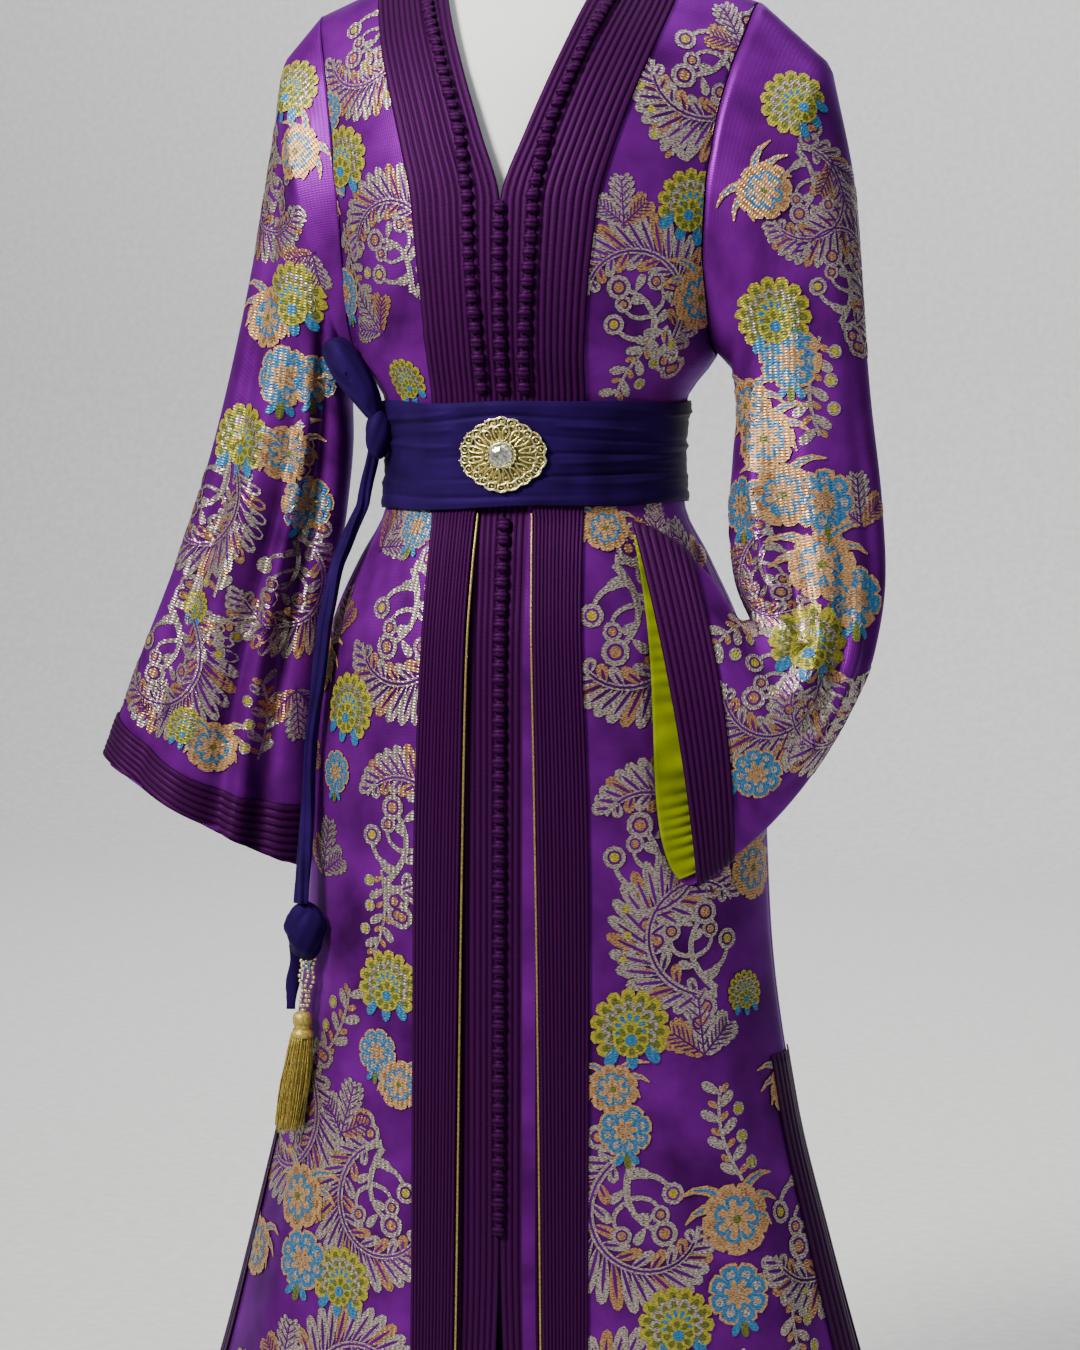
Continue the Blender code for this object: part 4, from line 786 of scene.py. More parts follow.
def makeSlitBand(side, front):
    stations = np.linspace(body["hem"], braid["slitTop"], fine["slitRows"])[:, None]
    share = 0.02 + 0.96 * np.linspace(0, 1, 26)[None, :]
    height = stationHeight(stations)
    depth = frontDepth(height) if front else backDepth(height)
    outer = sideAngle(stations, front)
    angle = outer - braid["slitWidth"] / depth * share
    if not front:
        angle = math.pi - angle
    rise = ribProfile(share, 5) * 0.0007
    points = cloth(side * angle, stations, 0.0018 + rise + 0 * angle)
    name = sided("slit_band_front" if front else "slit_band_back", side)
    flip = (side < 0) != front
    piece = clothPiece(f"braid_{name}", points, braidMaterial, walls["slitBand"], flip=flip, ribs=5)
    return place(piece, "braid", name)


def makeCuff(name):
    reader, creases, end, cuff, side = sleeveKinds[name]
    turn = fullTurn(fine["sleeveTurns"])[None, :]
    share = np.linspace(0, 1, fine["cuffRows"])[:, None]
    start = (hangingEnd(turn) if side < 0 else sleeves["tuckedMouth"]) - cuff
    row = start + (end(turn) + 0.004 - start) * share
    rise = ribProfile(share, 8) * 0.0008
    points = tubePoint(reader, creases, row, turn, 0.0024 + rise + 0 * turn)
    points[..., 0] *= side
    node = sided("cuff", side)
    piece = clothPiece(f"braid_{node}", points, braidMaterial, walls["cuff"], ring=True, flip=side < 0,
                       ribs=8, ribsAcross=False)
    return place(piece, "braid", node)


def makeLining():
    reader, creases, end, cuff, side = sleeveKinds["sleeve_left"]
    turn = np.radians(np.linspace(200, 340, 220))[None, :]
    start = sleeves["tuckedMouth"] - cuff
    share = np.linspace(0, 1, 24)[:, None]
    row = start + (end(turn) - start) * share
    ripple = 0.0011 * np.sin(62 * turn + 4 * np.sin(7 * turn) + 1.2 * row) * np.sin(math.pi * share) ** 0.6
    points = tubePoint(reader, creases, row, turn, -0.0036 + ripple)
    piece = clothPiece("satin_lining_left", points, limeSatin, walls["lining"])
    return place(piece, "lime_satin", "lining_left")


bands = {side: makeBand(side) for side in (-1, 1)}
neckBand = makeNeckBand()
plackets = {side: makePlacket(side) for side in (-1, 1)}
slitBands = {(side, front): makeSlitBand(side, front) for side in (-1, 1) for front in (True, False)}
cuffs = {name: makeCuff(name) for name in sleeveKinds}
lining = makeLining()
print("braid, cuffs and lining made")

# the brocade's motifs. Each is drawn flat in its own unit size, then laid on the cloth in metres
brocade = {
    "lift": 0.00055,
    "layer": 0.00012,
    "flowersOver": 5,
    "sizes": {"carnation": 0.034, "peony": 0.028, "bloom": 0.027, "acanthus": 0.060, "sprig": 0.050,
              "fern": 0.045},
    "backMiddle": [
        ("carnation", 8, 0.90, 0.9, 0, 0), ("acanthus", 8, 0.45, 1.0, 0, 1),
        ("carnation", 10, 1.14, 0.9, 0, 0), ("peony", 8, 0.76, 0.9, 0, 0),
        ("acanthus", 9, 0.62, 0.9, 180, 0), ("bloom", 6, 0.27, 0.9, 0, 0),
    ],
    # motif, angle or turn in degrees, station or row, size, lean in degrees, mirrored
    "front_right": [
        ("acanthus", 40, 1.470, 0.85, 200, 0), ("sprig", 33, 1.405, 0.8, 150, 0),
        ("bloom", 56, 1.385, 0.7, 0, 0), ("carnation", 51, 1.317, 0.95, 12, 0),
        ("peony", 66, 1.268, 0.9, 0, 0), ("acanthus", 36, 1.215, 0.85, -20, 1),
        ("sprig", 50, 1.210, 0.8, 160, 1), ("bloom", 62, 1.180, 0.8, 0, 0), ("fern", 44, 1.140, 0.8, -30, 0),
        ("carnation", 40, 1.095, 0.65, 0, 0), ("bloom", 36, 0.968, 0.75, 0, 0),
        ("fern", 52, 0.948, 0.9, 20, 1), ("acanthus", 32, 0.878, 1.0, 175, 0),
        ("fern", 62, 0.870, 0.8, -20, 0), ("carnation", 48, 0.806, 0.95, 10, 0),
        ("peony", 74, 0.840, 1.0, 0, 0), ("bloom", 52, 0.748, 0.7, 0, 0), ("fern", 78, 0.745, 0.9, 10, 0),
        ("acanthus", 28, 0.705, 0.95, 20, 1), ("sprig", 34, 0.628, 0.8, 190, 0),
        ("fern", 58, 0.655, 0.9, 10, 1), ("carnation", 29, 0.563, 0.95, 0, 0),
        ("carnation", 74, 0.590, 0.9, 0, 0), ("bloom", 31, 0.503, 0.75, 0, 0),
        ("peony", 24, 0.476, 0.8, 0, 0), ("sprig", 48, 0.520, 0.9, 20, 1), ("fern", 40, 0.425, 0.9, 10, 0),
        ("acanthus", 25, 0.365, 0.95, 180, 1), ("peony", 51, 0.361, 1.1, 0, 0),
        ("acanthus", 68, 0.430, 1.0, 190, 0), ("bloom", 46, 0.305, 1.0, 0, 0),
        ("carnation", 34, 0.292, 0.95, 0, 0), ("peony", 72, 0.300, 1.0, 0, 0),
        ("acanthus", 26, 0.190, 1.0, 10, 0), ("fern", 46, 0.200, 0.9, 0, 1),
        ("carnation", 62, 0.175, 1.0, 0, 0), ("sprig", 38, 0.130, 0.9, 180, 0),
        ("bloom", 28, 0.075, 0.9, 0, 0), ("peony", 50, 0.080, 1.0, 0, 0),
        ("acanthus", 70, 0.065, 0.95, 180, 1),
    ],
    "front_left": [
        ("acanthus", 46, 1.430, 0.95, 170, 1), ("fern", 58, 1.480, 0.8, 40, 0),
        ("sprig", 38, 1.355, 0.8, 200, 1), ("peony", 70, 1.335, 0.9, 0, 0),
        ("carnation", 53, 1.262, 0.95, -12, 1), ("bloom", 74, 1.256, 0.9, 0, 0),
        ("fern", 33, 1.235, 0.75, 10, 1), ("peony", 64, 1.172, 1.0, 0, 0),
        ("acanthus", 38, 1.165, 0.9, 20, 0), ("sprig", 48, 1.110, 0.8, 170, 0),
        ("peony", 37, 0.968, 0.75, 0, 0), ("fern", 56, 0.948, 0.8, -20, 0),
        ("acanthus", 34, 0.880, 1.05, 185, 1), ("fern", 72, 0.930, 0.9, 0, 1),
        ("carnation", 52, 0.810, 0.95, -10, 0), ("bloom", 74, 0.724, 0.9, 0, 0),
        ("peony", 76, 0.668, 1.0, 0, 0), ("acanthus", 36, 0.695, 1.0, 340, 0),
        ("acanthus", 53, 0.618, 0.95, 20, 1), ("sprig", 33, 0.612, 0.8, 170, 1),
        ("carnation", 31, 0.535, 1.05, 0, 1), ("fern", 50, 0.510, 1.0, 0, 0),
        ("carnation", 68, 0.560, 0.6, 0, 0), ("peony", 26, 0.482, 0.8, 0, 0),
        ("bloom", 28, 0.446, 0.85, 0, 0), ("sprig", 56, 0.440, 0.9, 0, 1), ("peony", 84, 0.470, 0.9, 0, 0),
        ("acanthus", 32, 0.370, 1.0, 180, 0), ("acanthus", 76, 0.350, 1.05, 180, 1),
        ("peony", 52, 0.365, 1.15, 0, 0), ("bloom", 49, 0.300, 1.0, 0, 0),
        ("carnation", 34, 0.276, 1.0, 0, 1), ("sprig", 66, 0.265, 0.9, 180, 0),
        ("acanthus", 26, 0.190, 1.0, -10, 1), ("fern", 46, 0.200, 0.9, 0, 0),
        ("carnation", 64, 0.165, 1.0, 0, 0), ("bloom", 28, 0.075, 0.9, 0, 0), ("peony", 50, 0.080, 1.0, 0, 0),
        ("acanthus", 72, 0.060, 0.95, 180, 0),
    ],
    "sleeve_right": [
        ("carnation", 45, 0.80, 0.9, 20, 0), ("peony", 72, 0.85, 0.9, 0, 0),
        ("acanthus", 58, 1.70, 0.75, 190, 0), ("fern", 110, 0.95, 0.8, 200, 1),
        ("sprig", 30, 1.75, 0.8, 180, 1), ("carnation", 93, 2.15, 1.0, 10, 0), ("peony", 66, 2.85, 1.0, 0, 0),
        ("bloom", 120, 2.70, 0.8, 0, 0), ("bloom", 92, 3.10, 1.0, 0, 0), ("carnation", 60, 3.85, 1.0, 0, 1),
        ("peony", 104, 3.70, 0.95, 20, 0), ("bloom", 126, 4.05, 0.9, 0, 0),
        ("acanthus", 30, 4.45, 0.85, 170, 1), ("sprig", 66, 4.80, 0.9, 20, 0),
        ("acanthus", 118, 4.95, 0.80, 180, 1), ("carnation", 62, 5.35, 0.5, 0, 0),
        ("acanthus", 46, 5.90, 0.90, 200, 1), ("sprig", 92, 5.50, 0.8, 150, 0),
        ("sprig", 120, 6.10, 0.8, 10, 0), ("fern", 148, 5.80, 0.8, 190, 1),
        ("carnation", 80, 6.36, 0.6, 0, 0), ("peony", 97, 6.42, 0.85, 0, 0), ("fern", 56, 6.45, 0.7, 10, 0),
    ],
    "sleeve_left": [
        ("carnation", 48, 0.85, 0.9, -10, 1), ("peony", 84, 0.85, 0.9, 0, 0),
        ("acanthus", 66, 1.45, 0.75, 180, 0), ("fern", 36, 1.60, 0.8, 170, 0),
        ("carnation", 104, 1.85, 1.0, 0, 1), ("acanthus", 46, 2.50, 0.8, 10, 1),
        ("bloom", 92, 2.72, 1.0, 0, 0), ("peony", 136, 2.50, 0.9, 0, 0), ("peony", 116, 3.45, 1.0, 0, 0),
        ("sprig", 66, 3.50, 0.9, 180, 1), ("bloom", 142, 4.25, 0.9, 0, 0), ("peony", 104, 4.45, 1.0, 0, 0),
        ("bloom", 76, 4.75, 1.0, 0, 0), ("peony", 84, 5.65, 1.1, 0, 0), ("bloom", 58, 6.20, 1.0, 0, 0),
        ("acanthus", 120, 5.80, 0.7, 200, 1), ("carnation", 100, 7.30, 1.05, 0, 0),
        ("fern", 46, 5.20, 0.8, 0, 0), ("acanthus", 64, 8.20, 0.75, 200, 0),
        ("acanthus", 104, 9.40, 0.85, 110, 0), ("sprig", 134, 9.60, 0.8, 100, 1),
        ("bloom", 62, 10.10, 0.8, 0, 0),
    ],
}


def newStamp():
    return {"points": [], "lifts": [], "faces": [], "inks": []}


def addShape(stamp, points, faces, ink, lift):
    first = len(stamp["points"])
    stamp["points"] += points
    stamp["lifts"] += [lift] * len(points)
    stamp["faces"] += [tuple(first + i for i in face) for face in faces]
    stamp["inks"] += [inkOf[ink]] * len(faces)


def addDrop(stamp, x, y, turn, length, width, ink, lift, fullest=0.62):
    # a petal: pointed at its root, round at its tip
    cosT, sinT = math.cos(turn), math.sin(turn)
    steps = 6
    edge = [(0.0, 0.0)]
    bulge = math.log(0.5) / math.log(fullest)
    for side in (1, -1):
        order = range(1, steps) if side > 0 else range(steps - 1, 0, -1)
        if side < 0:
            edge.append((1.0, 0.0))
        for k in order:
            t = k / steps
            edge.append(((1 - math.cos(math.pi * t)) / 2, side * 0.5 * math.sin(math.pi * t ** bulge)))
    points = [(x + cosT * length * 0.55, y + sinT * length * 0.55)]
    for along, across in edge:
        a, b = along * length, across * width
        points.append((x + cosT * a - sinT * b, y + sinT * a + cosT * b))
    count = len(edge)
    addShape(stamp, points, [(0, 1 + i, 1 + (i + 1) % count) for i in range(count)], ink, lift)


def addDisc(stamp, x, y, radius, ink, lift, sides=10):
    points = [(x, y)]
    points += [(x + radius * math.cos(2 * math.pi * i / sides),
                y + radius * math.sin(2 * math.pi * i / sides)) for i in range(sides)]
    addShape(stamp, points, [(0, 1 + i, 1 + (i + 1) % sides) for i in range(sides)], ink, lift)


def addRibbon(stamp, path, widths, ink, lift):
    points = []
    for i, (x, y) in enumerate(path):
        ax, ay = path[max(i - 1, 0)]
        bx, by = path[min(i + 1, len(path) - 1)]
        size = math.hypot(bx - ax, by - ay) or 1
        nx, ny = -(by - ay) / size, (bx - ax) / size
        points += [(x + side * nx * widths[i] / 2, y + side * ny * widths[i] / 2) for side in (1, -1)]
    faces = [(2 * i, 2 * i + 1, 2 * i + 3, 2 * i + 2) for i in range(len(path) - 1)]
    addShape(stamp, points, faces, ink, lift)


def petalRing(stamp, x, y, count, middle, sweep, length, width, ink, lift, heart=None, closed=False):
    for k in range(count):
        share = k / count if closed else k / (count - 1)
        turn = middle + (share - 0.5) * sweep
        addDrop(stamp, x, y, turn, length, width, ink, lift, 0.72)
        if heart:
            start = length * 0.38
            addDrop(stamp, x + start * math.cos(turn), y + start * math.sin(turn), turn,
                    length * 0.48, width * 0.5, heart, lift + 1, 0.6)


def wreath(stamp, rows):
    # whole rings of petals round the middle
    for count, start, length, width, ink, lift, heart in rows:
        petalRing(stamp, 0, 0, count, start, 2 * math.pi, length, width, ink, lift, heart, closed=True)


def addStalk(stamp, start, bend, tip, width, berry, heart):
    # a tapering stalk that curls to a ringed berry
    path = []
    for k in range(9):
        t = k / 8
        path.append(tuple((1 - t) ** 2 * start[i] + 2 * t * (1 - t) * bend[i] + t * t * tip[i]
                          for i in (0, 1)))
    addRibbon(stamp, path, [width * (1 - 0.05 * k) for k in range(9)], "silver", 1)
    addDisc(stamp, tip[0], tip[1], berry, "silver", 2)
    addDisc(stamp, tip[0], tip[1], berry * 0.62, "violet", 3)
    addDisc(stamp, tip[0], tip[1], berry * 0.42, heart, 4)


def carnation():
    # a fan of scalloped lime petals over a small rosette and a blue foot
    stamp = newStamp()
    up = math.pi / 2
    petalRing(stamp, 0, 0, 11, up, math.radians(250), 1.00, 0.36, "lime", 0, "olive")
    petalRing(stamp, 0, 0, 9, up, math.radians(230), 0.70, 0.28, "silver", 2, "olive")
    petalRing(stamp, 0, 0, 7, up, math.radians(210), 0.46, 0.22, "lime", 4, "blue")
    for side in (-1, 0, 1):
        addDrop(stamp, 0.22 * side, -0.15, -up + side * 0.5, 0.85, 0.30, "blue", 0)
    petalRing(stamp, 0, -0.28, 8, 0, 2 * math.pi, 0.44, 0.32, "lime", 5, "olive", closed=True)
    addDisc(stamp, 0, -0.28, 0.15, "blue", 8)
    return stamp


def peony():
    # a round peach flower with blue hearts, and long peach leaves curling up beside it
    stamp = newStamp()
    for side in (-1, 1):
        for reach, lean in ((1.75, 0.30), (1.45, 0.75), (1.1, 1.25)):
            path = []
            for k in range(7):
                t = k / 6
                turn = math.pi / 2 - side * (lean + 0.7 * t * t)
                path.append((reach * t * math.cos(turn), reach * t * math.sin(turn)))
            addRibbon(stamp, path, [0.05 + 0.26 * math.sin(math.pi * k / 6) for k in range(7)], "peach", 0)
            addRibbon(stamp, path[1:6], [0.10 * math.sin(math.pi * k / 6) for k in range(1, 6)], "blue", 1)
    wreath(stamp, [(9, 0, 1.0, 0.62, "peach", 2, "rose"), (7, 0.3, 0.66, 0.44, "blue", 4, "peach"),
                   (6, 0, 0.36, 0.28, "peach", 6, None)])
    addDisc(stamp, 0, 0, 0.12, "olive", 7)
    return stamp


def bloom():
    # a blue scalloped flower with a peach heart
    stamp = newStamp()
    wreath(stamp, [(8, 0.2, 1.05, 0.70, "peach", 0, None), (8, 0.2, 0.95, 0.58, "blue", 1, "silver"),
                   (7, 0.5, 0.58, 0.40, "blue", 3, "peach"), (6, 0, 0.34, 0.26, "peach", 5, "rose")])
    for k in range(3):
        addDrop(stamp, 0.0, -0.7, -math.pi / 2 + (k - 1) * 0.6, 0.75, 0.26, "olive" if k == 1 else "blue", 0)
    return stamp


def spiral(x, y, start, sweep, first, last, count):
    path = []
    for k in range(count):
        t = k / (count - 1)
        turn = start + sweep * t
        reach = first + (last - first) * t
        path.append((x + reach * math.cos(turn), y + reach * math.sin(turn)))
    return path


def acanthus():
    # a big curling leaf of veined lobes round a scroll, with a berried stem
    stamp = newStamp()
    rib = spiral(0, 0, math.radians(-80), math.radians(240), 1.0, 0.70, 25)
    for k in range(1, 24):
        (ax, ay), (bx, by) = rib[k - 1], rib[k + 1]
        along = math.atan2(by - ay, bx - ax)
        swell = math.sin(math.pi * (k / 24) ** 0.8)
        x, y = rib[k]
        ink = "silver" if k % 4 else "rose"
        length = 0.22 + 0.56 * swell
        addDrop(stamp, x, y, along - 0.80, length, 0.20, ink, k % 2, 0.62)
        addDrop(stamp, x, y, along - 0.80, length * 0.78, 0.05, "violet", 2, 0.5)
        if k % 2 == 0:
            addDrop(stamp, x, y, along + 0.95, 0.16 + 0.30 * swell, 0.17, ink, 0, 0.6)
            addDrop(stamp, x, y, along + 0.95, 0.12 + 0.20 * swell, 0.045, "violet", 2, 0.5)
    addRibbon(stamp, rib, [0.13 - 0.06 * k / 24 for k in range(25)], "silver", 3)
    addRibbon(stamp, rib[2:-2], [0.035] * 21, "violet", 4)
    addStalk(stamp, (0.15, -0.92), (0.62, -0.10), (-0.14, 0.26), 0.12, 0.20, "rose")
    addStalk(stamp, (0.27, -0.62), (-0.20, -0.70), (-0.34, -0.30), 0.10, 0.17, "lime")
    addStalk(stamp, (0.34, -0.30), (-0.10, -0.35), (-0.12, -0.02), 0.08, 0.14, "rose")
    addStalk(stamp, (0.36, -0.25), (0.70, -0.10), (0.48, 0.22), 0.08, 0.15, "rose")
    for x, y, turn in ((0.22, -0.75, 2.6), (0.34, -0.45, 0.6), (0.30, -0.05, 2.9), (0.12, 0.14, 0.9)):
        addDrop(stamp, x, y, turn, 0.30, 0.15, "silver", 0, 0.62)
    stem = [(0.30 + 0.34 * t, -0.94 - 0.62 * t + 0.30 * t * t) for t in np.linspace(0, 1, 9)]
    addRibbon(stamp, stem, [0.08] * 9, "silver", 1)
    for t, side in ((0.35, 1), (0.7, -1), (1.0, 0)):
        x, y = 0.30 + 0.34 * t + 0.12 * side, -0.94 - 0.62 * t + 0.30 * t * t - 0.14 * side
        addDisc(stamp, x, y, 0.19, "silver", 1)
        addDisc(stamp, x, y, 0.11, "violet", 2)
        addDisc(stamp, x, y, 0.07, "rose", 3)
    return stamp


def sprig():
    # a winding stem with leaves one side and berries the other
    stamp = newStamp()
    stem = [(0.28 * math.sin(2.6 * t), 1.9 * t - 0.95) for t in np.linspace(0, 1, 15)]
    addRibbon(stamp, stem, [0.07] * 15, "silver", 1)
    for k in range(1, 14, 2):
        x, y = stem[k]
        side = 1 if k % 4 == 1 else -1
        addDrop(stamp, x, y, math.pi / 2 - side * 0.9, 0.44, 0.20, "silver", 0, 0.58)
        addDrop(stamp, x, y, math.pi / 2 + side * 0.9, 0.26, 0.13, "rose", 0, 0.58)
        if k % 4 == 3:
            addDisc(stamp, x + side * 0.42, y - 0.10, 0.14, "silver", 1)
            addDisc(stamp, x + side * 0.42, y - 0.10, 0.08, "lime", 2)
    return stamp


def fern():
    # three pointed leaves with dark veins and notched edges
    stamp = newStamp()
    for lean, reach, ink in ((-0.85, 0.85, "silver"), (0.85, 0.85, "rose"), (0.0, 1.25, "silver")):
        turn = math.pi / 2 + lean
        cosT, sinT = math.cos(turn), math.sin(turn)
        addDrop(stamp, 0, 0, turn, reach, 0.40, ink, 1 + (lean == 0), 0.48)
        for k in range(1, 7):
            t = k / 7
            x, y = reach * t * cosT, reach * t * sinT
            wide = 0.25 * math.sin(math.pi * t) + 0.08
            for side in (-1, 1):
                addDrop(stamp, x, y, turn + side * 0.75, wide * 1.5, 0.12, ink, 1, 0.6)
                addDrop(stamp, x, y, turn + side * 0.75, wide, 0.035, "violet", 4, 0.5)
        vein = [(reach * t * cosT, reach * t * sinT) for t in np.linspace(-0.1, 0.9, 6)]
        addRibbon(stamp, vein, [0.035] * 6, "violet", 4)
    return stamp


stamps = {draw.__name__: draw() for draw in (carnation, peony, bloom, acanthus, sprig, fern)}


def layStamp(face, upward, rowRange, stamp, turn, row, size, lean, mirror):
    # a motif is walked outwards from its middle over the cloth, so that it lies there in its true shape
    flat = np.array(stamp["points"]) * size * np.array([-1 if mirror else 1, 1])
    spin = math.radians(lean)
    x = (flat[:, 0] * math.cos(spin) - flat[:, 1] * math.sin(spin))[:, None]
    y = (flat[:, 0] * math.sin(spin) + flat[:, 1] * math.cos(spin))[:, None]
    rows, turns = np.full(len(flat), float(row)), np.full(len(flat), float(turn))
    small, steps, up = 0.01, 8, None
    for step in range(steps):
        above, below = np.minimum(rows + small, rowRange[1]), np.maximum(rows - small, rowRange[0])
        alongRow = (face(above, turns) - face(below, turns)) / (above - below)[:, None]
        alongTurn = (face(rows, turns + small) - face(rows, turns - small)) / (2 * small)
        normal = unit(np.cross(alongTurn, alongRow))
        up = upward * alongRow if up is None else up
        up = unit(up - normal * (up * normal).sum(axis=-1, keepdims=True))
        aside = unit(alongTurn - up * (alongTurn * up).sum(axis=-1, keepdims=True))
        way = (aside * x + up * y) / steps
        pairs = ((alongRow, alongRow), (alongTurn, alongTurn), (alongRow, alongTurn))
        rr, tt, rt = ((a * b).sum(axis=-1) for a, b in pairs)
        wr, wt = (way * alongRow).sum(axis=-1), (way * alongTurn).sum(axis=-1)
        whole = rr * tt - rt ** 2
        rows = np.clip(rows + (wr * tt - wt * rt) / whole, *rowRange)
        turns = turns + (wt * rr - wr * rt) / whole
    return rows, turns, np.concatenate([x, y], axis=1)


def brocadeOn(name, face, upward, rowRange, table, pointAt, limit, side):
    # every motif of one panel as a single thin mesh just over the cloth, the flowers over the leaves
    verts, uvs, faces, inks = [], [], [], []
    first = 0
    for kind, turn, row, size, lean, mirror in table:
        stamp = stamps[kind]
        newRow, newTurn, flat = layStamp(face, upward, rowRange, stamp, math.radians(turn), row,
                                         size * brocade["sizes"][kind], lean, mirror)
        newRow, newTurn = limit(newRow, newTurn)
        over = brocade["flowersOver"] if kind in ("carnation", "peony", "bloom") else 0
        out = brocade["lift"] + brocade["layer"] * (np.array(stamp["lifts"]) + over)
        verts.append(pointAt(newRow, newTurn, out))
        uvs.append(flat + np.array([turn * 0.01, row]))
        turned = bool(mirror) != (side < 0)
        faces += [tuple(first + i for i in (loop[::-1] if turned else loop)) for loop in stamp["faces"]]
        inks += stamp["inks"]
        first += len(stamp["points"])
    piece = addPiece(f"brocade_{name}", np.concatenate(verts), faces, motifMaterials,
                     np.concatenate(uvs), inks)
    thin = bmesh.new()
    thin.from_mesh(piece.data)
    bmesh.ops.dissolve_degenerate(thin, dist=1e-5, edges=thin.edges)
    thin.to_mesh(piece.data)
    thin.free()
    return place(piece, "brocade")


def frontBrocade(side):
    name = sided("front", side)

    def limit(row, turn):
        edge = sideAngle(row, True) - 0.006
        low = angleAt(bandInner(stationHeight(row)) + 0.012, row)
        return row, np.clip(turn, low, edge)

    return brocadeOn(name, lambda row, turn: bodyPoint(turn, row), 1,
                     (body["hem"] + 0.001, body["ridge"] - 0.002), brocade[name],
                     lambda row, turn, out: cloth(side * turn, row, out), limit, side)


def backBrocade(side):
    # the same repeat as the fronts, with its upper rows brought in under the neck
    def limit(row, turn):
        x = halfWidth(stationHeight(row)) * np.sin(turn)
        reach = np.clip(np.abs(x) / (braid["neckOuter"][0] + 0.003), 0, 1)
        top = body["ridge"] - (body["yokeRise"] * braid["neckOuter"][1] + 0.003) * np.sqrt(1 - reach ** 2)
        row = np.minimum(row, top)
        return row, np.clip(turn, 0.004, sideAngle(row, False) - 0.006)

    table = [(kind, max(turn - 22, 6) * 1.12, row - 0.045, size, lean, mirror)
             for kind, turn, row, size, lean, mirror in brocade["front_left"] if row < 1.40]
    table += brocade["backMiddle"]
    return brocadeOn(sided("back", side), lambda row, turn: bodyPoint(math.pi - turn, row), 1,
                     (body["hem"] + 0.001, body["ridge"] - 0.004), table,
                     lambda row, turn, out: cloth(side * (math.pi - turn), row, out), limit, -side)


def sleeveBrocade(name):
    reader, creases, end, cuff, side = sleeveKinds[name]
    last = (sleeves["hangingMouth"] if side < 0 else sleeves["tuckedMouth"]) - cuff

    def pointAt(row, turn, out):
        points = tubePoint(reader, creases, row, turn, out)
        points[..., 0] *= side
        return points

    table = list(brocade[name])
    table += [(kind, 360 - turn, row + 0.15, size, lean, 1 - mirror)
              for kind, turn, row, size, lean, mirror in table]
    return brocadeOn(name, lambda row, turn: sleeveFace(reader, row, turn), -1, (0.02, last + 0.1), table,
                     pointAt, lambda row, turn: (row, turn), -side)


motifs = [frontBrocade(side) for side in (-1, 1)] + [backBrocade(side) for side in (-1, 1)]
motifs += [sleeveBrocade(name) for name in sleeveKinds]
print("brocade laid:", sum(len(piece.data.polygons) for piece in motifs), "faces")

# what is sewn and tied onto the cloth
trim = {
    "knotPitch": 0.0129,
    "lowerPitch": 0.0120,
    "neckKnots": 18,
    # half the length, half the width and the height of one knot
    "knot": (0.0058, 0.0060, 0.0050),
    "tapeHalf": 0.0036,
    "onBraid": 0.0032,
    "pipingRadius": 0.0012,
    "pipingTwist": 0.0042,
    "vPoint": 1.255,
    "sashLow": 0.985,
    "sashHigh": 1.078,
}


def facesOut(piece):
    whole = bmesh.new()
    whole.from_mesh(piece.data)
    bmesh.ops.recalc_face_normals(whole, faces=whole.faces)
    whole.to_mesh(piece.data)
    whole.free()
    return piece


def loft(name, rings, material, uvs=None):
    # a closed skin through rings of points, with its two ends filled
    count, size = rings.shape[:2]
    quads = [tuple(f) for f in gridFaces(count, size, ring=True)]
    quads += [tuple(range(size))[::-1], tuple(range((count - 1) * size, count * size))]
    return facesOut(addPiece(name, rings.reshape(-1, 3), quads, material, uvs))


def settle(piece):
    # the piece's place goes into its mesh, and its object to the origin
    piece.data.transform(piece.matrix_world)
    piece.matrix_world = Matrix.Identity(4)


def pickOnly(piece):
    bpy.ops.object.select_all(action="DESELECT")
    piece.select_set(True)
    bpy.context.view_layer.objects.active = piece


def joined(name, pieces):
    # several pieces as one, under one name
    with bpy.context.temp_override(active_object=pieces[0], object=pieces[0],
                                   selected_editable_objects=pieces, selected_objects=pieces):
        bpy.ops.object.join()
    pieces[0].name = name
    return pieces[0]


